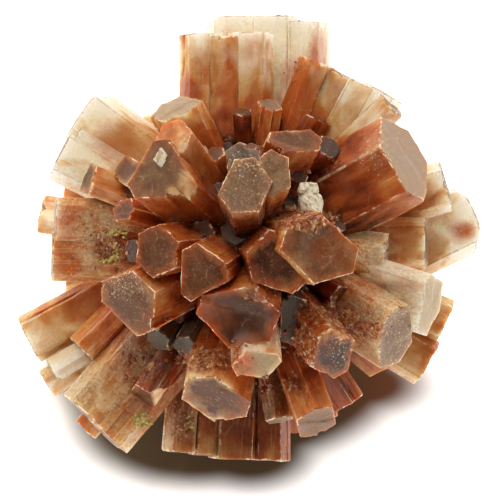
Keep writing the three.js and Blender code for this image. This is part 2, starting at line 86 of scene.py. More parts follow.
CRYSTALS = [
    # Ends that look forward, round the front pole.
    crystal((352, 15), 22.5, 28, (3.1, 3, 1.8, 2.4, 2.9, 2.8), chips=[(260, 38, 1.9)],
            cream=0.15, grey_end_and_sheen=0.68, frost=0.9, rust=0.9),
    crystal((22, 21), 21.8, 24, (1.4, 2, 2.4, 1.8, 2.8, 2.2),
            cream=0.2, grey_end_and_sheen=0.8, frost=0.5, rust=0.9),
    crystal((354, 25), 20.8, 0, (2.3, 1.8, 1.6, 1.4, 2, 2), cream=0.05, grey_end_and_sheen=0.35, rust=-0.7),
    crystal((264, 25), 22, 18, (2.7, 2.5, 2.5, 2.3, 2.4, 2.5), chips=[(350, 30, 1.3)],
            cream=0.1, grey_end_and_sheen=0.35, rust=0.8),
    crystal((236, 14), 22.5, 54, (2.4, 3.2, 2, 2.6, 2.3, 3.1), chips=[(60, 35, 1.7)],
            cream=0.1, grey_end_and_sheen=0.35, rust=0.8),
    crystal((122, 9), 21, 16, (2.9, 3.9, 2.4, 2.9, 2.8, 2.9), cream=0, grey_end_and_sheen=0.1),
    crystal((94, 19), 22.5, 20, (3.5, 4.2, 2.9, 3.6, 4.1, 3.2), pit=(4.6, 0.7), cream=0.3, grey_end_and_sheen=0.45),
    crystal((187, 21), 21.5, 48, (3.1, 3.2, 3.9, 3.6, 3.2, 4.3), pit=(6.2, 1.4),
            cream=0.1, grey_end_and_sheen=-0.12, rust=0.9, frost=0.1),
    crystal((243, 39), 22, 54, (3.5, 2.3, 3.5, 3.4, 3.6, 3.2), chips=[(300, 40, 2.3)],
            cream=0.2, grey_end_and_sheen=0.45, frost=0.5),
    crystal((309, 33), 22, 40, (3.4, 2.3, 3.6, 3.1, 4.2, 2.7), chips=[(278, 45, 1.6)],
            cream=0.2, grey_end_and_sheen=0.6, rust=0.8),
    crystal((192, 45), 21.8, 0, (3.5, 4.3, 4.8, 3.7, 1.2, 1.9), cream=0.44, grey_end_and_sheen=0.3, frost=0.5),
    crystal((176, 33), 23, 20, (2.5, 1.8, 1.9, 2.6, 1.7, 2), cream=0.9, grey_end_and_sheen=1.2, rust=1.0),
    crystal((142, 43), 21.5, 20, (2.5, 3.1, 2.1, 2.4, 3.4, 2.6), chips=[(262, 40, 1.9)],
            cream=0.1, grey_end_and_sheen=0.05, frost=0.5),
    crystal((25, 40), 18.5, 8, (2.7, 2.6, 1.4, 3, 2.8, 1.6), cream=0.15, grey_end_and_sheen=0.4),
    # These three small crystals deep in the front clefts are smoky grey as painted shade.
    crystal((150, 34), 17, 34, (2.6, 3, 1.5, 2.8, 3.1, 1.4), cream=0, grey_end_and_sheen=0.3, rust=-0.9),
    crystal((211, 50), 16.6, 10, (1.4, 1.6, 1.5, 1.4, 1.6, 1.5), cream=0, grey_end_and_sheen=0.6, rust=-1.0),
    crystal((223, 55), 17, 25, (1.4, 1.6, 1.5, 1.4, 1.6, 1.5), cream=0, grey_end_and_sheen=0.6, rust=-1.0),
    crystal((324, 39), 21.2, 5, (2.1, 2.2, 2, 2, 2.2, 2), chips=[(20, 35, 1.1)],
            grey_end_and_sheen=-1.0, rust=1.1, frost=0.1),
    crystal((9, 65), 16.4, 15, (1.2, 1.5, 1.5, 1.2, 1.5, 1.5), cream=0.3, grey_end_and_sheen=0.6),
    crystal((285, 45), 19, 15, (1.2, 1.6, 1.5, 1.2, 1.5, 1.5), cream=0.1, grey_end_and_sheen=0.3),

    # Ends that are seen at a glancing angle.
    crystal((61, 64), 21, 32, (4.1, 4.7, 4.2, 4.3, 4.5, 5), chips=[(20, 55, 3.5)],
            cream=0.1, grey_end_and_sheen=0.88, rust=0.75, frost=0.2),
    crystal((332, 68), 17.7, 22, (2.1, 3, 2.9, 2.6, 2.6, 3.3), cream=0.55, grey_end_and_sheen=0.92),
    crystal((159, 64), 22.5, 56, (3.2, 3, 2.1, 3.1, 3, 2.1), chips=[(190, 35, 1.9)],
            cream=0.3, grey_end_and_sheen=0.6),
    crystal((123, 60), 21.2, 30, (3.8, 4.2, 2.7, 3.9, 4, 2.4), cream=0.6, grey_end_and_sheen=0.68, frost=1.0),
    crystal((108, 69), 21.9, 56, (3.6, 3.2, 2.7, 4.2, 2.9, 3.5), cream=1.4, grey_end_and_sheen=1.0, frost=0.8),
    crystal((292, 74), 19.2, 0, blade(3.4, 4, 0.2), chips=[(230, 40, 1.5)], cream=0.6, grey_end_and_sheen=0.4),
    crystal((301, 62), 17, 0, blade(3, 4, -0.2), cream=0.4, grey_end_and_sheen=0.3),
    crystal((46, 80), 21.7, 10, (1.7, 1.9, 1.8, 1.7, 1.9, 1.8), chips=[(300, 40, 1)],
            cream=1.0, grey_end_and_sheen=0.6),
    crystal((170, 74), 20, 10, (1.4, 1.3, 1.3, 1.4, 1.3, 1.3), grey_end_and_sheen=0.9, rust=-0.5, frost=1.0),
    crystal((214, 70), 21, 0, blade(3.2, 4.5, 0.3), chips=[(200, 50, 0.9)],
            cream=0.12, grey_end_and_sheen=0.3, rust=-0.15),

    # The double block at the top, its three near columns and the three behind them.
    crystal((0, 90), 22.5, 30, slab(2.2, 2.1), shift=(-5.2, -1.6), cream=0.75),
    crystal((0, 90), 22.3, 30, slab(3.4, 1.9), shift=(-2.6, -1.6), cream=0.72),
    crystal((0, 90), 22.6, 30, slab(2.7, 2.1), shift=(0.3, -1.6), cream=0.9, rust=0.4),
    crystal((0, 92), 24.9, 30, slab(4.5, 2), shift=(-1.5, 3.8), chips=[(180, 45, 1.3)],
            cream=1.5, rust=0),
    crystal((0, 92), 25, 30, slab(3.9, 2.2), shift=(2.4, 3.8), cream=1.5, rust=0),
    crystal((1, 92), 24.4, 30, slab(3.2, 2.4), shift=(5.7, 3.8), cream=1.2, rust=0.3),

    # The fan to the upper right.
    crystal((21, 85), 21, 30, slab(2.1, 2.2), shift=(0.2, 0), cream=0.4, rust=1.2),
    crystal((26, 85), 20.9, 30, slab(2.6, 2), shift=(1, 0), cream=0.62, rust=0.7),
    crystal((29, 85), 21.1, 30, slab(2.6, 2.3), shift=(2.4, 0), cream=1.0, rust=0.1),
    crystal((32, 85), 21.6, 30, slab(2.6, 2), shift=(3.7, 0), cream=1.4, rust=0),

    # The right side.
    crystal((74, 88), 22.4, 30, slab(3.6, 2), shift=(0, 1), cream=0.9),
    crystal((64, 93), 23.9, 30, slab(6, 2), shift=(7.9, 3.4), chips=[(0, 35, 0.8), (180, 35, 1)],
            cream=1.2, rust=0.2),
    crystal((90, 87), 19.4, 30, slab(3.6, 1.9), shift=(0, -0.6), cream=0.75),
    crystal((97, 84), 15.4, 30, slab(3, 2.4), shift=(0, -5.2), cream=0.8, frost=1.0),
    crystal((111, 93), 23.2, 30, slab(3.2, 1.7), shift=(0.2, 0), cream=0.6),
    crystal((121, 93), 23.6, 30, slab(3.6, 1.7), shift=(1.2, 0.2), cream=0.55),
    crystal((147, 98), 20.4, 0, blade(4.2, 6, 0.3), shift=(0.5, 0), cream=0),

    # The block at the bottom, four columns side by side.
    crystal((184, 89), 23, 30, slab(2.5, 2.2), shift=(5.3, -1), cream=0.32, frost=0.6, rust=-0.35),
    crystal((183, 89), 23.1, 30, slab(2.2, 2), shift=(3.1, -1), cream=0.3, rust=-0.35, frost=0.5),
    crystal((182, 89), 23.3, 30, slab(3.6, 2.2), shift=(0.5, -1), cream=0.22, rust=-0.4, frost=0.4),
    crystal((180, 89), 23.5, 30, slab(2.5, 1.9), shift=(-2.3, -1), cream=0.2, rust=-0.3, frost=0.4),

    # The lower left.
    crystal((221, 82), 25.6, 30, slab(3.8, 2.2), shift=(1.2, -1), cream=0.55, frost=0.9, rust=0.1),
    crystal((221, 82), 25.9, 30, slab(3.4, 2), shift=(-2.2, -1), cream=0.58, frost=0.9, rust=0.1),
    crystal((224, 84), 21, 30, slab(2, 2), shift=(4.6, -0.5), cream=0.4, frost=0.6),
    crystal((221, 98), 27, 0, blade(3, 4, 0.2), cream=0.4),
    crystal((242, 92), 25.8, 30, slab(3.8, 1.6), shift=(1.9, -1), cream=0.82, rust=0.6),
    crystal((240, 88), 25.3, 0, blade(2.8, 4, 0.2), shift=(-1.3, 0), cream=1.0, rust=0.6),
    crystal((236, 90), 26.6, 0, blade(3.4, 4), shift=(-0.5, 1), cream=0.75, grey_end_and_sheen=0.9),

    # The left side.
    crystal((271, 82), 21.1, 30, slab(4, 1.4), shift=(1.8, -2), cream=0.72, frost=0.85, rust=0.7),
    crystal((271, 82), 21.4, 30, slab(4, 1.3), shift=(-1.8, -2), cream=0.66, frost=0.8, rust=0.7),
    crystal((279, 96), 22.9, 0, blade(4.2, 5, 0.3), shift=(-0.4, 2), cream=0.7),
    crystal((298, 88), 22.5, 30, slab(4, 2.2), shift=(-0.8, -0.8), cream=1.2, rust=0.2),
    crystal((306, 88), 22.8, 30, slab(4.4, 2.3), shift=(0.9, -0.8), chips=[(0, 45, 1.2)],
            cream=1.2, rust=0.2),
    crystal((302, 87), 21.9, 30, slab(1.4, 1.6), shift=(0.3, -1.3), cream=1.2, rust=0),

    # Behind the rim.
    crystal((8, 113), 21.5, 0, (2.6, 3.4, 3.1, 2.5, 3.5, 3.2), cream=0.8),
    crystal((8, 113), 22.3, 0, blade(3.2, 5), shift=(3.8, 0.4), cream=0.9),
    crystal((38, 110), 21.4, 8, (2.9, 3.6, 3.3, 2.8, 3.4, 3.5), chips=[(100, 40, 2.4)], cream=0.9),
    crystal((40, 112), 21.4, 8, blade(2.8, 4.6), shift=(-4, 0), cream=0.7),
    crystal((72, 116), 22.8, 22, (3.4, 3.2, 3.7, 3.5, 3.1, 3.6), cream=0.6),
    crystal((100, 114), 21, 4, (2.6, 3.1, 2.9, 2.7, 3.2, 3), chips=[(60, 38, 1.9)], cream=0.8),
    crystal((129, 118), 22, 12, (2.8, 3.4, 3.2, 2.9, 3.3, 3.1), cream=0.4),
    crystal((127, 119), 21.2, 12, blade(2.8, 4.4), shift=(-4, 0.3)),
    crystal((160, 112), 22.2, 3, (3.1, 3.4, 3.2, 3, 3.3, 3.5), cream=0.2),
    crystal((197, 114), 21, 16, (2.5, 3, 2.8, 2.6, 2.9, 3.1), cream=0.4),
    crystal((222, 120), 22.6, 26, (3.4, 3.6, 3.3, 3.5, 3.4, 3.7), chips=[(150, 42, 2.7)]),
    crystal((255, 114), 21.5, 5, (2.8, 3.2, 3, 2.9, 3.3, 2.8), cream=0.7),
    crystal((255, 115), 20.8, 5, blade(2.6, 4.6), shift=(3.9, 0), cream=0.6),
    crystal((285, 119), 22.4, 18, (3.1, 3.5, 3.3, 3.2, 3.4, 3.2)),
    crystal((317, 112), 18.4, 9, (2.6, 3, 2.8, 2.5, 3.1, 2.9), chips=[(40, 35, 1.8)], cream=0.8),
    crystal((344, 121), 21.2, 28, (2.7, 2.9, 3.1, 2.6, 3, 2.8), cream=0.6),

    # The far side, round the foot.
    crystal((20, 143), 22.4, 14, (3.5, 3.8, 3.6, 3.4, 3.7, 3.9), pit=(4.4, 0.8)),
    crystal((74, 146), 21.6, 2, (3.1, 3.6, 3.4, 3.2, 3.5, 3.3), cream=0.3),
    crystal((76, 147), 20.9, 2, blade(3, 5), shift=(-4.2, 0.5), cream=0.4),
    crystal((127, 145), 22.8, 20, (3.2, 3.5, 3.4, 3.3, 3.6, 3.2), chips=[(210, 40, 2.6)], cream=0.4),
    crystal((180, 145), 21.5, 10, (4.3, 4.6, 4.4, 4.2, 4.7, 4.5), cream=0.2),
    crystal((232, 145), 22.9, 7, (3.3, 3.7, 3.4, 3.2, 3.6, 3.5), cream=0.3),
    crystal((288, 147), 22, 24, (3.5, 3.3, 3.6, 3.4, 3.7, 3.2)),
    crystal((331, 143), 21.4, 11, (2.8, 3.2, 3, 2.9, 3.1, 3.3), chips=[(330, 38, 2.1)], cream=0.6),
    crystal((0, 172), 22.4, 17, (3.6, 3.9, 3.7, 3.5, 3.8, 4), cream=0.4),
    crystal((4, 170), 21.5, 17, blade(3, 5), shift=(4.8, 0)),

    # A chip lodged on the end of a front crystal.
    crystal((314, 34), 22.8, 50, (1, 0.4, 0.6, 0.9, 0.5, 0.8), cream=1.3, grey_end_and_sheen=1.2, rust=0.6),
]

# Where the surface is worked out: steps across each side face and the strip each lies in, of which
# 0 is the corner's, and steps up the sides and in over the end.
ACROSS = np.array([0, 0.04, 0.18, 0.31, 0.34, 0.48, 0.62, 0.65, 0.8, 0.96])
STRIP = np.array([0, 1, 1, 1, 2, 2, 2, 3, 3, 3])
UP_SIDE = np.array([0, 0.48, 0.6, 0.69, 0.77, 0.84, 0.9, 0.94, 0.97, 0.987, 1])
INWARD = np.array([1, 0.9, 0.77, 0.62, 0.46, 0.3, 0.14])
STRIPS = 4

# What stands between the flat faces and the real ones: grooves, lowered strips, flakes, worn
# corners and rims, and terraces on the ends.
SKIN_INSET = 0.05
GROOVE_DEPTH = 0.02
STEP_DEPTH = 0.1
LOWERED_SHARE = 0.4
FLAKE_FROM = (0.7, 0.95)
FLAKE_STEP = 0.35
FLAKE_DEPTH = (0.1, 0.35)
TAPER = 0.06
CORNER_WEAR = 0.05
RIM_WEAR, RIM_WEAR_SIZE = 0.08, 0.9
LEAST_WEAR = 0.7
RIM_DROP = 1.2
END_INSET = 0.04
TERRACES = 2
TERRACE_PLACE = (-1.6, 2.2)
TERRACE_DROP = (0.03, 0.15)
TERRACE_STEP = 0.18
BREAK_FADE = 0.1

# Unevenness: how far in or out, and over what length across and along the crystal. A hollow's rim
# wanders by a share of its radius.
SWELLING, SWELLING_SIZE = 0.06, (2.5, 2.5, 5)
ROUGHNESS, ROUGHNESS_SIZE = 0.015, (0.6, 0.6, 2.5)
SCALLOP_DEPTH, SCALLOP_SIZE, SCALLOPS_FROM = 0.5, 1.5, 0.75
END_RIPPLE, END_RIPPLE_SIZE = 0.01, 1.8
TERRACE_WAVE, TERRACE_WAVE_SIZE = 0.25, 2.4
CHIP_SWELLING, CHIP_SWELLING_SIZE = 0.12, 1.1
PIT_WAVE, PIT_WAVE_SIZE = 0.18, 4

# How many waves make up an uneven field, and how much it is scaled up.
WAVES = 9
WAVE_GAIN = 2.2


def ripples(points, size, seed):
    """A smooth uneven field from about -1 to 1: the mean of plane waves in random directions
    through the points divided by size, with wavelengths from 0.6 to 1.8 of that, scaled up again
    because the waves partly cancel."""
    draw = np.random.default_rng(seed)
    heading = draw.normal(size=(3, WAVES))
    heading /= np.linalg.norm(heading, axis=0)
    travel = (points / size) @ heading / draw.uniform(0.6, 1.8, WAVES)
    return np.sin(2 * np.pi * travel + draw.uniform(0, 2 * np.pi, WAVES)).mean(-1) * WAVE_GAIN


def section_outline(roll, sides):
    """The section's outline: corners where each side face's line meets the next one's, with steps
    of ACROSS along every side. Gives the points and the outward direction at each, 6 by steps."""
    turn = np.radians(roll + 60 * np.arange(6))
    near, far, after = np.array(sides), np.roll(sides, -1), turn + np.pi / 3
    corners = np.stack([near * np.sin(after) - far * np.sin(turn),
                        far * np.cos(turn) - near * np.cos(after)], -1) / math.sin(np.pi / 3)
    starts = np.roll(corners, 1, axis=0)
    points = starts[:, None] + (corners - starts)[:, None] * ACROSS[None, :, None]
    facing = np.stack([np.cos(turn), np.sin(turn)], -1)
    outward = facing[:, None] + np.zeros_like(points)
    outward[:, 0] = (facing + np.roll(facing, 1, axis=0)) / 2
    return points, outward


def side_inset(height, reach, draw):
    """How far the surface lies inside the flat side faces, and where the seams are. Each face is
    three narrow strips, twins that grew side by side, and some lie a step lower than the rest. It
    adds worn corners, fine grooves along the axis, and flakes broken off strips from some height up
    to the rim."""
    lowered = STEP_DEPTH * draw.random((6, STRIPS)) * (draw.random((6, STRIPS)) < LOWERED_SHARE)
    depth = lowered[:, STRIP]
    depth[:, 0] = CORNER_WEAR
    seams = np.abs(depth - np.roll(depth, -1, axis=1)) / STEP_DEPTH
    seams[:, [0, -1]] = 0
    inset = depth + GROOVE_DEPTH * draw.random((6, len(ACROSS))) ** 2 + np.zeros((len(height), 1, 1))
    for flake in range(draw.integers(0, 3)):
        face, strip = draw.integers(0, 6), draw.integers(1, STRIPS)
        from_height = reach * draw.uniform(*FLAKE_FROM)
        started = np.clip((height[:, face][:, STRIP == strip] - from_height) / FLAKE_STEP, 0, 1)
        inset[:, face, STRIP == strip] += draw.uniform(*FLAKE_DEPTH) * started
    return inset + SKIN_INSET, seams


def end_height(x, y, row, seed):
    """Height of the end over the section, and how freshly broken it is. It lies under the reach by
    fine ripples and low growth terraces, each a ramp across a random line, with a bowl-shaped
    hollow where there is one, and planes that break corners."""
    draw = np.random.default_rng(seed)
    spot = np.stack([x, y, np.zeros_like(x)], -1)
    z = row["reach"] - END_INSET - END_RIPPLE * (1 + ripples(spot, END_RIPPLE_SIZE, seed))
    for terrace in range(TERRACES):
        heading, offset = draw.uniform(0, 2 * np.pi), draw.uniform(*TERRACE_PLACE)
        drop = draw.uniform(*TERRACE_DROP)
        edge = offset + TERRACE_WAVE * ripples(spot, TERRACE_WAVE_SIZE, seed + 10 + terrace)
        z -= drop * np.clip((x * np.cos(heading) + y * np.sin(heading) - edge) / TERRACE_STEP, 0, 1)
    if row["pit"]:
        width, depth = row["pit"]
        edge = width / 2 * (1 + PIT_WAVE * ripples(spot, PIT_WAVE_SIZE, seed + 1))
        z -= depth * np.clip(1 - (np.hypot(x, y) / edge) ** 2, 0, 1)
    broken = np.zeros_like(x)
    for direction, steepness, distance in row["chips"]:
        turn, tilt = math.radians(direction), math.radians(steepness)
        reached = math.sin(tilt) * (x * math.cos(turn) + y * math.sin(turn))
        plane = row["reach"] + (distance - reached) / math.cos(tilt) - SKIN_INSET
        plane = plane + CHIP_SWELLING * ripples(spot, CHIP_SWELLING_SIZE, seed + 2)
        broken = np.maximum(broken, np.clip((z - plane) / BREAK_FADE, 0, 1))
        z = np.minimum(z, plane)
    return z, broken


def crystal_frame(at, shift):
    """Axes of a crystal as matrix columns, clockwise, away from the front pole and along it, and
    the point beside the core that it starts from."""
    bearing, lean = math.radians(at[0]), math.radians(at[1])
    across = math.cos(bearing) * RIGHT - math.sin(bearing) * UP
    meridian = math.sin(bearing) * RIGHT + math.cos(bearing) * UP
    along = math.cos(lean) * FRONT + math.sin(lean) * meridian
    outward = np.cross(along, across)
    return np.stack([across, outward, along], -1), CORE + shift[0] * across + shift[1] * outward


def tube_faces(count, levels):
    """Faces of a closed tube of count points by levels, whose last two points close its ends."""
    here = np.arange(count)
    after = (here + 1) % count
    start = np.arange(levels - 1)[:, None] * count
    quads = np.stack([start + here, start + after, start + count + after, start + count + here], -1)
    last, closing = (levels - 1) * count, levels * count
    fans = np.concatenate([np.stack([after, here, here * 0 + closing], -1),
                           np.stack([last + here, last + after, here * 0 + closing + 1], -1)])
    return quads.reshape(-1, 4), fans


def face_corners(quads, fans):
    """The point at each face corner, those of the four-sided faces first."""
    return np.concatenate([quads.ravel(), fans.ravel()])


def face_sizes(quads, fans):
    """How many corners each face has, the four-sided faces first."""
    return np.concatenate([np.full(len(quads), 4), np.full(len(fans), 3)])


def grow_crystal(row, number):
    """A crystal's closed surface in millimetres along its own axes: the outline carried up the side
    by UP_SIDE to a worn rim, then drawn in over the end by INWARD. It also gives, for each face
    corner, the zone (end or side, how far in or up, edge) and marks (broken, seam, along)."""
    draw = np.random.default_rng(1000 + number)
    reach = row["reach"]
    outline, outward = section_outline(row["roll"], row["sides"])
    count = outline.shape[0] * outline.shape[1]
    rim_spot = np.concatenate([outline, np.zeros_like(outline[..., :1])], -1)
    scallops = np.clip(ripples(rim_spot, SCALLOP_SIZE, number + 60) - SCALLOPS_FROM, 0, 1)
    uneven_wear = LEAST_WEAR + np.abs(ripples(rim_spot, RIM_WEAR_SIZE, number + 50))
    wear = RIM_WEAR * uneven_wear + SCALLOP_DEPTH * scallops
    rim = end_height(outline[..., 0], outline[..., 1], row, number)[0] - RIM_DROP * wear
    height = ROOT + (rim - ROOT) * UP_SIDE[:, None, None]
    inset, seams = side_inset(height, reach, draw)
    skin = np.concatenate([outline + np.zeros_like(height)[..., None], height[..., None]], -1)
    uneven = SWELLING * ripples(skin, SWELLING_SIZE, number + 80)
    uneven = uneven + ROUGHNESS * ripples(skin, ROUGHNESS_SIZE, number + 90)
    taper = 1 - TAPER + TAPER * height / reach
    side = outline * taper[..., None] + outward * (uneven - inset)[..., None]
    side = side.reshape(len(UP_SIDE), count, 2)
    radius = np.linalg.norm(side[-1], axis=-1)
    drawn_in = 1 - wear.reshape(-1) / radius
    cap = side[-1] * (INWARD[:, None] * drawn_in)[..., None]
    cap_height, broken = end_height(cap[..., 0], cap[..., 1], row, number)
    peak, peak_broken = end_height(np.zeros(1), np.zeros(1), row, number)
    flat = np.concatenate([side.reshape(-1, 2), cap.reshape(-1, 2), np.zeros((2, 2))])
    tall = np.concatenate([height.reshape(-1), cap_height.reshape(-1), [ROOT], peak])
    levels = len(UP_SIDE) + len(INWARD)
    quads, fans = tube_faces(count, levels)
    corners = face_corners(quads, fans)
    sizes = face_sizes(quads, fans)
    level = np.concatenate([np.repeat(np.arange(levels - 1), count), np.zeros(count), np.full(count, levels)])
    column = np.concatenate([np.tile(np.arange(count) % len(ACROSS), levels - 1),
                             np.full(2 * count, len(ACROSS) // 2)])
    on_end = level >= len(UP_SIDE)
    on_rim = level == len(UP_SIDE) - 1
    on_corner = ~on_end & ((column == 0) | (column == len(ACROSS) - 1))
    edge = np.where(on_rim, 1.0, 0.0) + 0.5 * (on_corner & ~on_rim)
    inward = np.concatenate([(height / reach).reshape(-1), np.repeat(1 - INWARD, count), [0, 1]])
    fresh = np.concatenate([np.zeros(height.size), broken.reshape(-1), [0], peak_broken])
    seam = np.concatenate([np.tile(seams.reshape(-1), len(UP_SIDE)), np.zeros(cap_height.size + 2)])
    zone = np.stack([np.repeat(on_end * 1.0, sizes), inward[corners], np.repeat(edge, sizes)], -1)
    marks = np.stack([fresh[corners], seam[corners], tall[corners] / reach], -1)
    return np.column_stack([flat, tall]), quads, fans, zone, marks


def make_mesh(name, points, quads, fans):
    """Puts whole arrays of points, four-sided and three-sided faces into a new mesh."""
    mesh = bpy.data.meshes.new(name)
    mesh.vertices.add(len(points))
    mesh.vertices.foreach_set("co", np.ascontiguousarray(points, np.float32).ravel())
    corners = face_corners(quads, fans)
    mesh.loops.add(len(corners))
    mesh.loops.foreach_set("vertex_index", corners.astype(np.int32))
    sizes = face_sizes(quads, fans)
    mesh.polygons.add(len(sizes))
    starts = np.concatenate([[0], np.cumsum(sizes)[:-1]])
    mesh.polygons.foreach_set("loop_start", starts.astype(np.int32))
    mesh.update(calc_edges=True)
    return mesh


def add_corner_vectors(mesh, name, vectors):
    """Stores a vector for each face corner under a name that the material reads."""
    layer = mesh.attributes.new(name, "FLOAT_VECTOR", "CORNER")
    layer.data.foreach_set("vector", np.ascontiguousarray(vectors, np.float32).ravel())


# What lies on the faces towards the viewer: right and up from the core in the view's plane, half width, half
# height, and how much grit, glitter (painted glints and silvery painted sheen, with a coarser grain) and rust
# stain.
COATED = [
    (5.6, 2.6, 3.0, 1.2, 1.0, 0.3, 0), (8.2, -7.4, 2.8, 0.9, 1.0, 0.2, 0),
    (11.4, -9.2, 2.6, 0.9, 1.0, 0.2, 0), (5.8, -10.6, 1.2, 2.0, 0.8, 0.2, 0),
    (-4.2, -12.2, 3.4, 1.1, 0.8, 0.5, 0), (0.9, -5.6, 1.6, 1.0, 0.5, 0.3, 0),
    (-11.4, -13.0, 2.4, 2.0, 0.5, 0.6, 0), (-16.0, 0.6, 2.4, 2.6, 0.2, 0.9, 0),
    (-7.4, -19.2, 1.8, 1.4, 0.5, 0.8, 0), (4.8, -15.2, 1.6, 0.9, 0.7, 0.3, 0),
    (5.2, 18.6, 1.0, 1.2, 0.4, 0.3, 0.6), (13.3, 9.6, 1.2, 1.8, 0, 1.0, 0),
    (-0.2, 8.3, 1.7, 0.8, 0, 1.0, 0), (13.4, -0.9, 1.8, 1.4, 0, 1.0, 0),
    (17.2, -4.3, 1.8, 1.1, 0, 0.3, 0), (14.2, -6.6, 2.2, 1.4, 0, 1.0, 0),
    (-18.0, -15.6, 1.4, 1.4, 0, 1.0, 0), (-12.6, -4.2, 1.6, 1.2, 0, 0.9, 0),
    (9.6, -11.2, 1.4, 1.3, 0, 0.4, 0), (1.8, -15.2, 1.2, 1.4, 0.6, 0.6, 0),
    (9.0, 8.4, 1.6, 0.8, 0.3, 0.5, 0), (23.4, 1.4, 1.0, 0.8, 0, 0, 1.0),
    (-0.6, -12.8, 1.1, 1.5, 0, 0, 1.0), (-2.0, 18.4, 0.7, 3.2, 0, 0.3, 0.9),
    (-14.2, 10.6, 1.8, 1.2, 0, 0, 0.5), (7.7, 20.4, 0.8, 2.2, 0, 0, 0.8),
    (0.6, 20.4, 0.8, 1.6, 0, 0, 0.4), (-19.0, 0.3, 1.1, 3.6, 0, 0.2, 0.7),
    (-14.8, -0.9, 1.5, 1.4, 1.0, 0.4, 0), (8.3, -0.7, 1.8, 1.4, 0, 0, 0.3),
    (-3.4, -7.6, 1.6, 1.2, 0, 0, 0.3),
]

# A coat fades out from 0.7 to 1.7 times its oval's size.
COAT_FADE = 1.7
COATED_FROM = -4


def coating(points):
    """How much grit, glitter (painted glints and sheen, with a coarser grain) and stain lie on each point: an
    oval for each row of COATED that fades away outwards, on whatever lies nearer to the viewer than
    COATED_FROM."""
    right, up, front = (points - CORE) @ RIGHT, (points - CORE) @ UP, (points - CORE) @ FRONT
    thick = np.zeros((len(points), 3))
    for along, above, wide, tall, *amounts in COATED:
        inside = np.clip(COAT_FADE - np.hypot((right - along) / wide, (up - above) / tall), 0, 1)
        thick = np.maximum(thick, (inside * (front > COATED_FROM))[:, None] * amounts)
    return thick


def dressed_solid(name, points, quads, fans, **vectors):
    """A closed solid whose face corners carry what the material reads: where they lie in the
    crystal (grain, in millimetres, set apart from crystal to crystal), its look (cream, mauve,
    rust), their zone (on the end, inward or up, edge), marks (broken, seam, along) and finish
    (frost). Each is a vector for every corner or one for them all."""
    mesh = make_mesh(name, points, quads, fans)
    for attribute, values in vectors.items():
        add_corner_vectors(mesh, attribute, np.zeros((quads.size + fans.size, 3)) + values)
    return bpy.data.objects.new(name, mesh)


# How far apart the pattern's places on one crystal and the next are.
GRAIN_APART = np.array([37, 53, 0])
SMALL_GRAIN_APART = np.array([11, 17, 0])


def crystal_object(row, number):
    """A large crystal in place."""
    local, quads, fans, zone, marks = grow_crystal(row, number)
    axes, start = crystal_frame(row["at"], row["shift"])
    corners = face_corners(quads, fans)
    return dressed_solid(f"crystal_{number}", local @ axes.T + start, quads, fans,
                         grain=local[corners] + GRAIN_APART * (number + 1),
                         look=(row["cream"], row["grey_end_and_sheen"], row["rust"]), zone=zone, marks=marks,
                         finish=(row["frost"], 0, 0))


# The small crystals that line the clefts, a second growth 1.5 to 4 mm wide, spread evenly in
# every direction. The last three rows give one's height, width and slant from its root to its end.
# The steps set their sizes and directions apart.
SMALL_COUNT = 220
SMALL_ROOT = 8.0
SMALL_REACH = (12.6, 16.4)
SMALL_RADIUS = (0.9, 1.9)
SMALL_ASIDE = 0.35
SMALL_UNEVEN = 0.85
SMALL_SLANT = 0.2
GOLDEN_STEP = (5 ** 0.5 - 1) / 2
REACH_STEP = 2 ** 0.5
RADIUS_STEP = 3 ** 0.5
ASIDE_STEPS = (7 ** 0.5, 11 ** 0.5, 13 ** 0.5)
SMALL_LEVELS = np.array([0, 0.85, 0.96, 0.975])
WIDTH_AT_LEVELS = np.array([0.85, 1, 1, 0.86])
SLANT_AT_LEVELS = np.array([0, 0, 1, 0.86])


def scatter(number, step):
    """A value from 0 to 1: the fraction of a small crystal's number times a step."""
    return (number * step) % 1


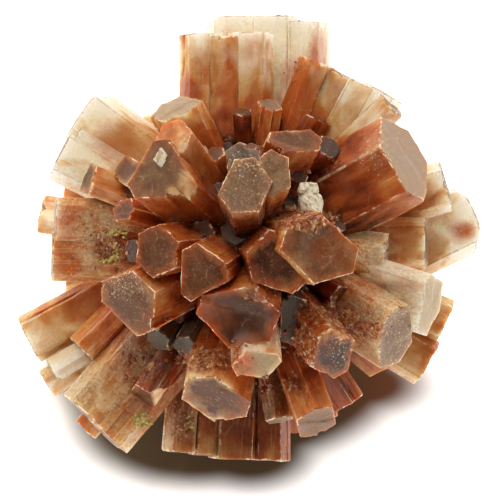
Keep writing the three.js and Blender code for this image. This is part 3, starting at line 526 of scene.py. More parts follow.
def small_crystal(number):
    """A small six-sided column that points outwards along a spiral from pole to pole round the
    core, turned aside a little: an uneven hexagon carried out through SMALL_LEVELS, the last drawn
    in to bevel the rim of a slightly slanting end. It is turned as the shortest swing from +Y to
    its direction turns it."""
    draw = np.random.default_rng(3000 + number)
    polar = math.acos(1 - 2 * (number + 0.5) / SMALL_COUNT)
    azimuth = 2 * math.pi * scatter(number, GOLDEN_STEP)
    aside = np.array([scatter(number, step) - 0.5 for step in ASIDE_STEPS])
    along = np.array([math.sin(polar) * math.sin(azimuth), math.cos(polar),
                      math.sin(polar) * math.cos(azimuth)])
    along = along + SMALL_ASIDE * aside
    along /= np.linalg.norm(along)
    axle = np.cross([0, 1, 0], along)
    across = along[1] * RIGHT + np.cross(axle, RIGHT) + axle * axle[0] / (1 + along[1])
    axes = np.stack([across, np.cross(along, across), along], -1)
    reach = SMALL_REACH[0] + (SMALL_REACH[1] - SMALL_REACH[0]) * scatter(number, REACH_STEP)
    radius = SMALL_RADIUS[0] + (SMALL_RADIUS[1] - SMALL_RADIUS[0]) * scatter(number, RADIUS_STEP)
    turn = np.radians(60) * np.arange(6) + np.pi / 2
    outline = np.stack([np.cos(turn), np.sin(turn)], -1) * (radius * draw.uniform(SMALL_UNEVEN, 1, (6, 1)))
    slant = (outline @ draw.uniform(-SMALL_SLANT, SMALL_SLANT, 2)) * SLANT_AT_LEVELS[:, None]
    tall = SMALL_ROOT + (reach - SMALL_ROOT) * SMALL_LEVELS[:, None] + slant
    rings = np.concatenate([outline * WIDTH_AT_LEVELS[:, None, None], tall[..., None]], -1).reshape(-1, 3)
    local = np.vstack([rings, [[0, 0, SMALL_ROOT], [0, 0, tall[-1].mean()]]])
    quads, fans = tube_faces(6, len(SMALL_LEVELS))
    corners = face_corners(quads, fans)
    on_top = np.concatenate([np.repeat([0, 0, 1], 6 * 4), np.repeat([0, 1], 6 * 3)])
    edge = np.concatenate([np.repeat([0, 0, 0.7], 6 * 4), np.zeros(2 * 6 * 3)])
    up = local[corners, 2] / reach
    return dressed_solid(f"small_crystal_{number}", local @ axes.T + CORE, quads, fans,
                         grain=local[corners] + SMALL_GRAIN_APART * number,
                         look=draw.uniform(0, 1, 3) * [0.35, 0.35, 0.8],
                         zone=np.stack([on_top, up * 0.5, edge], -1),
                         marks=np.stack([0 * up, 0 * up, 0.8 * up], -1), finish=(0.2, 0, 0))


def join_solids(first, others, operation):
    """Joins or cuts closed solids, and gives the result as a mesh of its own."""
    group = bpy.data.collections.new("solids_to_join")
    for solid in others:
        group.objects.link(solid)
    bpy.context.scene.collection.objects.link(first)
    joined = first.modifiers.new("joined", "BOOLEAN")
    joined.operation = operation
    joined.operand_type = "COLLECTION"
    joined.collection = group
    joined.solver = "MANIFOLD"
    shown = first.evaluated_get(bpy.context.evaluated_depsgraph_get())
    mesh = bpy.data.meshes.new_from_object(shown)
    for solid in [first, *others]:
        bpy.data.objects.remove(solid)
    bpy.data.collections.remove(group)
    return mesh


def ball_points(around, up):
    """A unit sphere as rings of latitude on a grid, with a point at each pole."""
    turn = np.linspace(0, 2 * np.pi, around, endpoint=False)[None, :]
    tilt = np.linspace(-np.pi / 2, np.pi / 2, up + 2)[1:-1, None]
    rings = np.stack([np.cos(tilt) * np.cos(turn), np.cos(tilt) * np.sin(turn),
                      np.sin(tilt) + 0 * turn], -1)
    return np.concatenate([rings.reshape(-1, 3), [[0, 0, -1], [0, 0, 1]]])


core_unit = ball_points(*CORE_STEPS)
core_quads, core_fans = tube_faces(*CORE_STEPS)
core_swelling = CORE_SWELLING * ripples(core_unit * CORE_RADIUS, CORE_SWELLING_SIZE, 7)
core_points = CORE + core_unit * (CORE_RADIUS + core_swelling)[:, None]
core = dressed_solid("core", core_points, core_quads, core_fans, look=0, marks=0, finish=0,
                     zone=(0, 0.3, 0), grain=core_points[face_corners(core_quads, core_fans)])
grown = [crystal_object(row, number) for number, row in enumerate(CRYSTALS)]
grown += [small_crystal(number) for number in range(SMALL_COUNT)]
grown_mesh = join_solids(core, grown, "UNION")

# The ground cuts the lowest ends level, where the cluster rests.
GROUND_WIDTH = 80.0
ground_corners = np.array([[x, y, z] for z in (-1, 0) for y in (-1, 1) for x in (-1, 1)]) * [0.5, 0.5, 1]
ground_quads = np.array([[0, 2, 3, 1], [4, 5, 7, 6], [0, 1, 5, 4], [2, 6, 7, 3], [0, 4, 6, 2], [1, 3, 7, 5]])
ground_mesh = make_mesh("ground", ground_corners * GROUND_WIDTH, ground_quads, np.zeros((0, 3), int))
uncut = bpy.data.objects.new("uncut", grown_mesh)
cluster_mesh = join_solids(uncut, [bpy.data.objects.new("ground", ground_mesh)], "DIFFERENCE")


def mesh_points(mesh):
    """The points of a mesh, one to a row."""
    points = np.zeros(len(mesh.vertices) * 3, np.float32)
    mesh.vertices.foreach_get("co", points)
    return points.reshape(-1, 3)


def finish_mesh(mesh, name, sharp_from):
    """Turns a mesh from millimetres to metres, with smooth faces but for edges sharper than an
    angle in degrees, and gives its object, which rides with the cluster."""
    mesh.vertices.foreach_set("co", (mesh_points(mesh) * MM).ravel())
    mesh.name = name
    mesh.shade_smooth()
    mesh.set_sharp_from_angle(angle=math.radians(sharp_from))
    mesh.materials.clear()
    piece = bpy.data.objects.new(name, mesh)
    bpy.context.scene.collection.objects.link(piece)
    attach(piece, "root")
    return piece


coats = cluster_mesh.attributes.new("coating", "FLOAT_VECTOR", "POINT")
coats.data.foreach_set("vector", coating(mesh_points(cluster_mesh)).astype(np.float32).ravel())
cluster = finish_mesh(cluster_mesh, "aragonite_crystals", sharp_from=26)
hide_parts("aragonite_cluster")


def hex_colour(code):
    """An sRGB hex colour as linear red, green, blue and alpha."""
    parts = [int(code[i:i + 2], 16) / 255 for i in (1, 3, 5)]
    return tuple(c / 12.92 if c <= 0.04045 else ((c + 0.055) / 1.055) ** 2.4 for c in parts) + (1.0,)


def node(tree, kind, inputs=(), output=0, stops=(), **settings):
    """Adds a shader node and gives one of its outputs. Inputs are its sockets in their order, or
    by name or number, each a value or another node's output. Stops are a ramp's colours, and
    settings are the node's own properties."""
    made = tree.nodes.new("ShaderNode" + kind)
    for name, value in settings.items():
        setattr(made, name, value)
    for name, value in inputs.items() if isinstance(inputs, dict) else enumerate(inputs):
        if isinstance(value, bpy.types.NodeSocket):
            tree.links.new(value, made.inputs[name])
        else:
            made.inputs[name].default_value = value
    while stops and len(made.color_ramp.elements) < len(stops):
        made.color_ramp.elements.new(0.5)
    for number, (position, code) in enumerate(stops):
        made.color_ramp.elements[number].position = position
        made.color_ramp.elements[number].color = hex_colour(code)
    return made.outputs[output]


def start_material(name):
    """A new material, and its node tree with nothing in it."""
    material = bpy.data.materials.new(name)
    material.use_nodes = True
    material.node_tree.nodes.clear()
    return material, material.node_tree


def cover(mesh, material, surface):
    """Ends a material in its surface shader and puts it on a mesh."""
    ending = material.node_tree.nodes.new("ShaderNodeOutputMaterial")
    material.node_tree.links.new(surface, ending.inputs["Surface"])
    mesh.materials.append(material)


# Sockets of a Mix node between two colours: how much, and what it turns from and to, which are 4
# and 5 between two vectors. A MapRange node's inputs are a value, the range that it comes from and
# the range that it turns into.
SHARE, BELOW, ABOVE = 0, 6, 7
COLOURS = {"output": 2, "data_type": "RGBA"}

# Iron-stained aragonite: translucent, glassy to greasy, with growth streaks along each crystal.
# It is dark red-brown where iron soaked in near the core and passes through amber to cream at the tips. The
# ends are duller, brown to mauve-grey, the grey partly a painted sheen, and worn edges and fresh breaks are
# pale, the worn edges partly a painted highlight. Pitted parts carry painted glints, painted sparkle and a
# silvery painted sheen.
aragonite, rock = start_material("iron_stained_aragonite")
grain = node(rock, "Attribute", output="Vector", attribute_name="grain")
stored = {}
for name in ("look", "zone", "marks", "finish", "coating"):
    vector = node(rock, "Attribute", output="Vector", attribute_name=name)
    stored[name] = node(rock, "SeparateXYZ", [vector]).node.outputs
cream, grey_end_and_sheen, rust = stored["look"]
on_end, inward, on_edge = stored["zone"]
broken, seam, along = stored["marks"]
frost = stored["finish"][0]
grit_coat, painted_glint_and_grain_coat, stain_coat = stored["coating"]

# Growth shows as clouds 2.8 by 4 mm, strands about 1 mm wide that each took up a little more or
# less iron, hair lines along the crystal and a sugary grain, and wear as patches 1.4 mm across. The
# real lines and grain are finer than 0.1 mm. They are drawn 0.2 mm and 0.35 mm across, so that they
# show.
cloud_space = node(rock, "VectorMath", [grain, (0.36, 0.36, 0.25)], operation="MULTIPLY")
cloud = node(rock, "TexNoise", {"Vector": cloud_space, "Scale": 1.0, "Detail": 2.0, "Distortion": 0.6})
strand_space = node(rock, "VectorMath", [grain, (1.0, 1.0, 0.05)], operation="MULTIPLY")
strand = node(rock, "TexVoronoi", {"Vector": strand_space, "Scale": 1.0}, "Color")
strand = node(rock, "SeparateXYZ", [strand])
line_space = node(rock, "VectorMath", [grain, (4.5, 4.5, 0.35)], operation="MULTIPLY")
line = node(rock, "TexNoise", {"Vector": line_space, "Scale": 1.0, "Detail": 2.0, "Distortion": 0.3})
sugar = node(rock, "TexNoise", {"Vector": grain, "Scale": 2.8, "Detail": 5.0, "Roughness": 0.7})
patch = node(rock, "TexNoise", {"Vector": grain, "Scale": 0.7, "Detail": 4.0, "Roughness": 0.6})

# How bleached the sides are: up the crystal, paler crystals, clouds and strands.
up_crystal = node(rock, "MapRange", [along, 0.45, 0.95, -0.02, 0.46])
paler = node(rock, "Math", [cream, 0.5, up_crystal], operation="MULTIPLY_ADD")
cloudy = node(rock, "MapRange", [cloud, 0.3, 0.7, -0.17, 0.17])
stranded = node(rock, "MapRange", [strand, 0.0, 1.0, -0.02, 0.02])
uneven = node(rock, "Math", [cloudy, stranded], operation="ADD")
bleached = node(rock, "Math", [paler, uneven], operation="ADD", use_clamp=True)
side = node(rock, "ValToRGB", [bleached], stops=[
    (0.0, "#280D06"), (0.18, "#541D0D"), (0.36, "#8C3C16"), (0.52, "#B25E2A"), (0.66, "#CC8E50"),
    (0.8, "#DFC08E"), (1.0, "#FAF4E6")])

# Rust soaked in as tongues 1.8 by 4.5 mm, darker hair lines, and rust held in the steps between
# strands.
tongue_space = node(rock, "VectorMath", [grain, (0.55, 0.55, 0.22)], operation="MULTIPLY")
rust_patch = node(rock, "TexNoise", {"Vector": tongue_space, "Scale": 1.0, "Detail": 2.0, "Distortion": 0.7})
rust_level = node(rock, "Math", [rust, 0.25, rust_patch], operation="MULTIPLY_ADD")
rust_most = node(rock, "MapRange", [bleached, 0.7, 1.0, 0.8, 0.35])
rusty = node(rock, "MapRange", [rust_level, 0.64, 0.86, 0.0, rust_most])
line_share = node(rock, "MapRange", [frost, 0.4, 1.0, 0.03, 0.35])
lined = node(rock, "MapRange", [line, 0.55, 0.72, 0.0, 1.0])
lined = node(rock, "Math", [lined, line_share], operation="MULTIPLY")
seamed = node(rock, "Math", [seam, 0.1], operation="MULTIPLY")

# Where the surface is pitted or glitter lies on it, a silvery painted sheen lies in patches.
painted_sheen_patch = node(rock, "MapRange", [patch, 0.4, 0.6, 0.3, 1.0])
sheen_and_glint_share = node(rock, "Math", [painted_glint_and_grain_coat, 0.6, frost], operation="MULTIPLY_ADD")
painted_sheen = node(rock, "MapRange", [sheen_and_glint_share, 0.6, 1.4, 0.0, 0.9])
painted_sheen = node(rock, "Math", [painted_sheen, painted_sheen_patch], operation="MULTIPLY")
for share, tone in [(rusty, "#B8622A"), (lined, "#7A3A1C"), (seamed, "#A4562A"), (painted_sheen, "#BCA98A")]:
    side = node(rock, "Mix", {SHARE: share, BELOW: side, ABOVE: hex_colour(tone)}, **COLOURS)

# The ends: dull brown to grey-beige, the grey-beige partly a painted sheen set crystal by crystal, with more
# of the side's colour close to a brown end's rim.
patchy_end = node(rock, "MapRange", [patch, 0.3, 0.7, -0.16, 0.16])
evenness = node(rock, "MapRange", [grey_end_and_sheen, 0.5, 1.0, 1.0, 0.3])
end_level = node(rock, "Math", [patchy_end, evenness, grey_end_and_sheen], operation="MULTIPLY_ADD", use_clamp=True)
end = node(rock, "ValToRGB", [end_level], stops=[
    (0.0, "#3C1A0A"), (0.2, "#623014"), (0.5, "#6C4323"), (0.75, "#806040"), (0.9, "#97795A"),
    (1.0, "#AE9875")])
rim_reach = node(rock, "MapRange", [patch, 0.3, 0.7, 0.15, 0.7])
near_rim = node(rock, "MapRange", [inward, 0.0, rim_reach, 0.75, 0.0])
browner = node(rock, "MapRange", [grey_end_and_sheen, 0.1, 0.8, 1.0, 0.1])
near_rim = node(rock, "Math", [near_rim, browner], operation="MULTIPLY")
glassy_end = node(rock, "MapRange", [grey_end_and_sheen, -1.0, 0.0, 1.0, 0.0])
near_rim = node(rock, "Math", [near_rim, glassy_end], operation="MAXIMUM")
end = node(rock, "Mix", {SHARE: near_rim, BELOW: end, ABOVE: side}, **COLOURS)
bevelled = node(rock, "Math", [on_edge, 0.7], operation="MULTIPLY")
end_share = node(rock, "Math", [on_end, bevelled], operation="MAXIMUM")
colour = node(rock, "Mix", {SHARE: end_share, BELOW: side, ABOVE: end}, **COLOURS)

# Rust stains lie over sides and ends alike, and iron-free crystals are smoky grey; the same grey is painted
# shade on three small crystals deep in the front clefts.
stain_patch = node(rock, "MapRange", [rust_patch, 0.35, 0.6, 0.55, 1.0])
stained = node(rock, "Math", [stain_coat, stain_patch], operation="MULTIPLY")
smoky_and_shade = node(rock, "MapRange", [rust, -1.0, 0.0, 0.85, 0.0])
for share, tone in [(stained, "#C46420"), (smoky_and_shade, "#47453A")]:
    colour = node(rock, "Mix", {SHARE: share, BELOW: colour, ABOVE: hex_colour(tone)}, **COLOURS)

# The sugary grain lightens and darkens everything a little, most where the surface is pitted.
rough_end = node(rock, "Math", [on_end, 0.25, frost], operation="MULTIPLY_ADD")
rough_end = node(rock, "Math", [painted_glint_and_grain_coat, 0.6, rough_end], operation="MULTIPLY_ADD")
depth_of_grain = node(rock, "MapRange", [rough_end, 0.2, 1.5, 0.05, 1.1])
grainy = node(rock, "MapRange", [sugar, 0.25, 0.75, -0.5, 0.5])
grainy = node(rock, "Math", [grainy, depth_of_grain, 1.0], operation="MULTIPLY_ADD")
colour = node(rock, "VectorMath", [colour, grainy], operation="MULTIPLY")

# Fresh breaks are cream with some amber, and worn edges show a thin broken pale line, partly wear and partly
# a painted highlight.
fresh = node(rock, "ValToRGB", [patch], stops=[(0.35, "#C48C58"), (0.5, "#DDB98C"), (0.65, "#E8D3AA")])
fresh_share = node(rock, "Math", [broken, 0.92], operation="MULTIPLY")
wearing = node(rock, "Math", [sugar, 0.5, patch], operation="MULTIPLY_ADD")
edge_wear_and_highlight = node(rock, "MapRange", [wearing, 0.76, 0.84, 0.0, 0.85])
worn_edge_and_highlight = node(rock, "Math", [edge_wear_and_highlight, on_edge], operation="MULTIPLY")

# A few pale hair cracks about 4.5 mm apart wander over the surface, and pitted hair lines get a painted
# glint.
wander = node(rock, "TexNoise", {"Vector": grain, "Scale": 0.8, "Detail": 3.0}, "Color")
wander = node(rock, "VectorMath", [wander, (0.5, 0.5, 0.5), grain], operation="MULTIPLY_ADD")
crack = node(rock, "TexVoronoi", {"Vector": wander, "Scale": 0.22}, "Distance", feature="DISTANCE_TO_EDGE")
cracked = node(rock, "MapRange", [crack, 0.004, 0.014, 1.0, 0.0])
crack_share = node(rock, "MapRange", [patch, 0.52, 0.6, 0.0, 0.2])
cracked = node(rock, "Math", [cracked, crack_share], operation="MULTIPLY")
# Painted glint: pale lines laid along pitted hair lines and glitter patches.
glint = node(rock, "MapRange", [line, 0.3, 0.42, 0.5, 0.0])
glint = node(rock, "Math", [glint, sheen_and_glint_share], operation="MULTIPLY")

# Painted sparkle: a few tiny facets 0.15 mm across are painted bright, most where the surface is pitted.
facet = node(rock, "TexVoronoi", {"Vector": grain, "Scale": 7.0}, "Color")
facet_light, facet_tint = node(rock, "SeparateXYZ", [facet]).node.outputs[:2]
sparse = node(rock, "MapRange", [frost, 0.3, 1.0, 1.11, 1.03])
sparse = node(rock, "Math", [patch, -0.12, sparse], operation="MULTIPLY_ADD")
sparse = node(rock, "Math", [painted_glint_and_grain_coat, -0.2, sparse], operation="MULTIPLY_ADD")
close = node(rock, "MapRange", [inward, 0.0, 0.12, 0.1, 0.0])
close = node(rock, "Math", [close, on_end], operation="MULTIPLY")
sparse = node(rock, "Math", [sparse, close], operation="SUBTRACT")
painted_bright_facet = node(rock, "Math", [facet_light, sparse], operation="GREATER_THAN")
painted_sparkle = node(rock, "Math", [painted_bright_facet, facet_tint], operation="MULTIPLY")
painted_sparkle = node(rock, "Math", [painted_sparkle, 0.75], operation="MULTIPLY")

# Grit cemented on: red-brown to tan grains 0.3 mm across, patchy at its borders.
grit_edge = node(rock, "Math", [patch, 0.9, grit_coat], operation="MULTIPLY_ADD")
grit_edge = node(rock, "Math", [sugar, 0.6, grit_edge], operation="MULTIPLY_ADD")
gritty = node(rock, "MapRange", [grit_edge, 1.2, 1.45, 0.0, 0.9])
grit_cell = node(rock, "TexVoronoi", {"Vector": grain, "Scale": 3.2}, "Color")
grit_cell = node(rock, "SeparateXYZ", [grit_cell])
grit_tone = node(rock, "ValToRGB", [grit_cell], stops=[
    (0.0, "#743418"), (0.35, "#9C5A30"), (0.7, "#BE8252"), (0.92, "#DCB488"), (1.0, "#F6E6CA")])
for share, tone in [(fresh_share, fresh), (worn_edge_and_highlight, hex_colour("#F2E6D2")),
                    (cracked, hex_colour("#DCC4A2")), (glint, hex_colour("#E4CBA4")),
                    (painted_sparkle, hex_colour("#F0DFC4")), (gritty, grit_tone)]:
    colour = node(rock, "Mix", {SHARE: share, BELOW: colour, ABOVE: tone}, **COLOURS)

# Relief: hair lines along the sides, the sugary grain all over, and the cemented grit.
striated = node(rock, "Math", [line, 0.25], operation="MULTIPLY")
grained = node(rock, "Math", [sugar, depth_of_grain, striated], operation="MULTIPLY_ADD")
grit_height = node(rock, "TexVoronoi", {"Vector": grain, "Scale": 3.2}, "Distance")
grit_height = node(rock, "Math", [grit_height, gritty], operation="MULTIPLY")
grained = node(rock, "Math", [grit_height, -2.0, grained], operation="MULTIPLY_ADD")
relief = node(rock, "Bump", {"Strength": 0.35, "Distance": 0.00016, "Height": grained})

# Pale crystals are clearer and light travels further in them, except where there is iron.
clear = node(rock, "MapRange", [bleached, 0.45, 1.0, 0.0, 0.12])
dull = node(rock, "MapRange", [patch, 0.35, 0.65, 0.14, 0.42])
dull = node(rock, "Math", [on_end, 0.16, dull], operation="MULTIPLY_ADD")
iron = node(rock, "Math", [rusty, stained], operation="MAXIMUM")
iron_free = node(rock, "Math", [1.0, iron], operation="SUBTRACT")
pale_share = node(rock, "MapRange", [bleached, 0.6, 1.0, 0.0, iron_free])
light_reach = node(rock, "Mix", {SHARE: pale_share, 4: (1.0, 0.5, 0.25), 5: (2.6, 2.5, 2.2)}, 1,
                   data_type="VECTOR")
cover(cluster_mesh, aragonite, node(rock, "BsdfPrincipled", {
    "Base Color": colour, "Roughness": dull, "IOR": 1.55, "Specular IOR Level": 0.35, "Normal": relief,
    "Subsurface Weight": 0.9, "Subsurface Radius": light_reach, "Subsurface Scale": 0.0015,
    "Transmission Weight": clear}))


# Brown granular crust.
# Grains of iron-stained aragonite and sand, 0.2 to 0.7 mm across, cemented onto the crystals in
# patches and lying thick in the clefts between them.

# Grains land where rays from VIEW_DISTANCE away meet the crystals above GRAIN_FLOOR. Behind, each
# patch lies up to HIDDEN_REACH beside the core each way. In the clefts the rays aim about CLEFT_AIM
# from the core, and grains stay within CLEFT_RADIUS of it.
VIEW_DISTANCE = 320.0
GRAIN_FLOOR = 0.6
BELL_SHARE = 0.6
GRAINS_PER_AREA = 26
HIDDEN_PATCHES = 44
HIDDEN_GRAINS = 60
HIDDEN_SPREAD = (1.8, 1.2)
HIDDEN_REACH = 14
MORE_BEHIND = 0.6
BEHIND = -3
CLEFT_GRAINS = 900
CLEFT_AIM = 2
CLEFT_RADIUS = 16.5

# Rays meet the cluster only once the view layer has taken it in.
bpy.context.view_layer.update()


def throw_grains(aim, seen_from, across, up, spread, count, draw):
    """Lands grains on the cluster: rays from a far point towards count spots spread round the aim,
    a bell-shaped spread across and up. Gives where each lands, in millimetres, with the surface's
    direction there."""
    spots = aim + np.outer(draw.normal(size=count) * spread[0] * BELL_SHARE, across)
    spots = spots + np.outer(draw.normal(size=count) * spread[1] * BELL_SHARE, up)
    landed = [cluster.ray_cast(seen_from * MM, (spot - seen_from) * MM) for spot in spots]
    return [(np.array(place) / MM, np.array(normal)) for hit, place, normal, face in landed
            if hit and place.z > GRAIN_FLOOR * MM]


def throw_from_front(right, up, wide, tall, count, draw):
    """Lands grains on what the viewer sees, round a place to the right of the core and up."""
    return throw_grains(CORE + right * RIGHT + up * UP, CORE + VIEW_DISTANCE * FRONT, RIGHT, UP,
                        (wide, tall), count, draw)


crust_draw = np.random.default_rng(11)
crust_spots = []

# First on what the viewer sees, where grit coats it, then in patches behind and in the clefts.
for right, up, wide, tall, thick, glitter, stain in COATED:
    count = round(GRAINS_PER_AREA * wide * tall * thick)
    crust_spots += throw_from_front(right, up, wide, tall, count, crust_draw)
for number in range(HIDDEN_PATCHES):
    away = crust_draw.normal(size=3) - MORE_BEHIND * FRONT
    away /= np.linalg.norm(away)
    sideways = np.cross(away, FRONT)
    sideways /= np.linalg.norm(sideways)
    upwards = np.cross(sideways, away)
    aim = CORE + sideways * crust_draw.uniform(-HIDDEN_REACH, HIDDEN_REACH)
    aim = aim + upwards * crust_draw.uniform(-HIDDEN_REACH, HIDDEN_REACH)
    found = throw_grains(aim, CORE + VIEW_DISTANCE * away, sideways, upwards,
                         HIDDEN_SPREAD, HIDDEN_GRAINS, crust_draw)
    crust_spots += [spot for spot in found if (spot[0] - CORE) @ FRONT < BEHIND]
for number in range(CLEFT_GRAINS):
    away = crust_draw.normal(size=3)
    away /= np.linalg.norm(away)
    found = throw_grains(CORE + CLEFT_AIM * away, CORE + VIEW_DISTANCE * away, RIGHT, UP,
                         (1, 1), 1, crust_draw)
    crust_spots += [spot for spot in found if np.linalg.norm(spot[0] - CORE) < CLEFT_RADIUS]

# Shares of a grain's radius: how far out each corner lies, how long each axis is, and how far its
# middle lies out of the surface.
GRAIN_CORNERS = (0.72, 1.2)
GRAIN_STRETCH = (0.65, 1.25)
GRAIN_OUT = (-0.5, 0.3)
GOLDEN = (1 + 5 ** 0.5) / 2
ICO_POINTS = np.array([[-1, GOLDEN, 0], [1, GOLDEN, 0], [-1, -GOLDEN, 0], [1, -GOLDEN, 0], [0, -1, GOLDEN],
                       [0, 1, GOLDEN], [0, -1, -GOLDEN], [0, 1, -GOLDEN], [GOLDEN, 0, -1], [GOLDEN, 0, 1],
                       [-GOLDEN, 0, -1], [-GOLDEN, 0, 1]]) / math.hypot(1, GOLDEN)
ICO_FACES = np.array([[0, 11, 5], [0, 5, 1], [0, 1, 7], [0, 7, 10], [0, 10, 11], [1, 5, 9], [5, 11, 4],
                      [11, 10, 2], [10, 7, 6], [7, 1, 8], [3, 9, 4], [3, 4, 2], [3, 2, 6], [3, 6, 8],
                      [3, 8, 9], [4, 9, 5], [2, 4, 11], [6, 2, 10], [8, 6, 7], [9, 8, 1]])


def grain_mesh(name, spots, least, more, power, draw):
    """Angular grains: an icosahedron for each spot with its corners moved in or out at random,
    stretched by a different amount along each axis, turned at random and half sunk in. Its radius
    is the least one and as much more as a random share, raised to a power, gives."""
    places, normals = np.array(spots).swapaxes(0, 1)
    total = len(places)
    radius = least + more * draw.random(total) ** power
    corners = ICO_POINTS[None] * draw.uniform(*GRAIN_CORNERS, (total, 12, 1))
    corners = corners * draw.uniform(*GRAIN_STRETCH, (total, 1, 3))
    turned = np.linalg.qr(draw.normal(size=(total, 3, 3)))[0]
    turned[:, :, 0] *= np.sign(np.linalg.det(turned))[:, None]
    placed = np.einsum("nij,nkj->nki", turned, corners) * radius[:, None, None]
    middle = places + normals * (radius * draw.uniform(*GRAIN_OUT, total))[:, None]
    faces = (ICO_FACES[None] + 12 * np.arange(total)[:, None, None]).reshape(-1, 3)
    mesh = make_mesh(name, (placed + middle[:, None]).reshape(-1, 3), np.zeros((0, 4), int), faces)
    add_corner_vectors(mesh, "look", np.repeat(draw.uniform(0, 1, (total, 3)), ICO_FACES.size, axis=0))
    return mesh


crust_mesh = grain_mesh("granular_crust", crust_spots, least=0.1, more=0.24, power=3, draw=crust_draw)
finish_mesh(crust_mesh, "granular_crust", sharp_from=30)

# Iron-stained grit: angular glassy grains, red-brown to tan, the odd one pale and bright, with
# specks 0.2 mm across.
grit, grit_tree = start_material("iron_stained_grit")
grit_look = node(grit_tree, "Attribute", output="Vector", attribute_name="look")
grit_shade = node(grit_tree, "SeparateXYZ", [grit_look])
grit_colour = node(grit_tree, "ValToRGB", [grit_shade], stops=[
    (0.0, "#6B2F17"), (0.3, "#8F4A28"), (0.6, "#AE6C42"), (0.85, "#CB9A6E"), (1.0, "#EBDABC")])
grit_place = node(grit_tree, "TexCoord", output="Object")
grit_speck = node(grit_tree, "TexNoise", {"Vector": grit_place, "Scale": 5000.0, "Detail": 2.0})
grit_colour = node(grit_tree, "Mix", {SHARE: grit_speck, BELOW: grit_colour, ABOVE: hex_colour("#8A4425")},
                   **COLOURS)
grit_relief = node(grit_tree, "Bump", {"Strength": 0.4, "Distance": 0.00006, "Height": grit_speck})
cover(crust_mesh, grit, node(grit_tree, "BsdfPrincipled", {
    "Base Color": grit_colour, "Roughness": 0.28, "IOR": 1.55, "Normal": grit_relief,
    "Subsurface Weight": 0.4, "Subsurface Radius": (1.0, 0.5, 0.25), "Subsurface Scale": 0.0004}))


# Yellow-green clay.
# Crumbs of the clay that the cluster grew in, 0.2 to 0.6 mm across, caught in broken places on
# a few of its crystals.

# Each patch: right of the core, up, half width, half height and how many crumbs.
CLAY_PATCHES = [(-11.1, -19.2, 1.0, 0.7, 70), (-14.0, 1.1, 1.0, 0.3, 36), (-14.3, -1.2, 0.3, 0.8, 24),
                (-15.2, -1.9, 0.9, 0.3, 24), (-6.4, -19.6, 0.7, 0.6, 14)]
clay_draw = np.random.default_rng(23)
clay_spots = []
for row in CLAY_PATCHES:
    clay_spots += throw_from_front(*row, clay_draw)
clay_mesh = grain_mesh("clay_crumbs", clay_spots, least=0.1, more=0.2, power=2, draw=clay_draw)
finish_mesh(clay_mesh, "clay_crumbs", sharp_from=60)

# Dried clay: dull and powdery, pale yellow-green, browner where iron has stained it, in specks
# 0.4 mm across.
dried_clay, clay_tree = start_material("dried_clay")
clay_place = node(clay_tree, "TexCoord", output="Object")
clay_speck = node(clay_tree, "TexNoise", {"Vector": clay_place, "Scale": 2500.0, "Detail": 4.0})
clay_colour = node(clay_tree, "ValToRGB", [clay_speck], stops=[
    (0.3, "#9A8440"), (0.5, "#C2B566"), (0.7, "#DDD6A4")])
clay_relief = node(clay_tree, "Bump", {"Strength": 0.5, "Distance": 0.0001, "Height": clay_speck})
cover(clay_mesh, dried_clay, node(clay_tree, "BsdfPrincipled", {
    "Base Color": clay_colour, "Roughness": 0.8, "IOR": 1.5, "Normal": clay_relief}))


# The pale grain.
# One rounded, cracked grain of grey-white calcite in two lobes, lodged in the cleft between the
# front crystals and the big one on the right.

# Each lobe: its place right of the core, up and towards the viewer, and its half sizes that way.
PALE_LOBES = [((6.2, 5.5, 13.4), (1.05, 0.8, 1.0)), ((6.5, 4.1, 13.5), (1.25, 1.1, 1.1))]
LOBE_STEPS = (48, 30)
SQUARED_OFF = 0.55
CRACK_DEPTH, CRACK_SIZE = 0.1, 1.4
CRACK_WIDTH = 0.06
LOBE_SWELLING, LOBE_SWELLING_SIZE = 0.09, 0.9
LOBE_ROUGHNESS, LOBE_ROUGHNESS_SIZE = 0.03, 0.3
pale_unit = ball_points(*LOBE_STEPS)
pale_quads, pale_fans = tube_faces(*LOBE_STEPS)


def pale_lobe(place, size, seed):
    """A lobe: a unit sphere squared off a little by pushing each point towards the cube, roughened
    by ripples, split by shallow cracks where a wavy field passes zero, and stretched to size."""
    squared = pale_unit / np.max(np.abs(pale_unit), axis=1, keepdims=True) ** SQUARED_OFF
    cracks = np.clip(1 - np.abs(ripples(pale_unit, CRACK_SIZE, seed)) / CRACK_WIDTH, 0, 1)
    swell = 1 + LOBE_SWELLING * ripples(pale_unit, LOBE_SWELLING_SIZE, seed + 1)
    swell = swell + LOBE_ROUGHNESS * ripples(pale_unit, LOBE_ROUGHNESS_SIZE, seed + 2)
    local = squared * (swell - CRACK_DEPTH * cracks)[:, None] * size
    view_axes = np.stack([RIGHT, UP, FRONT])
    return CORE + local @ view_axes + np.array(place) @ view_axes, cracks


lobes = [pale_lobe(place, size, 31 + 7 * number) for number, (place, size) in enumerate(PALE_LOBES)]
pale_points = np.concatenate([points for points, cracks in lobes])
pale_cracks = np.concatenate([cracks for points, cracks in lobes])
both_quads = np.concatenate([pale_quads, pale_quads + len(pale_unit)])
both_fans = np.concatenate([pale_fans, pale_fans + len(pale_unit)])
pale_mesh = make_mesh("pale_grain", pale_points, both_quads, both_fans)
crack_marks = pale_cracks[face_corners(both_quads, both_fans)]
add_corner_vectors(pale_mesh, "look", np.repeat(crack_marks[:, None], 3, axis=1))
finish_mesh(pale_mesh, "pale_grain", sharp_from=50)

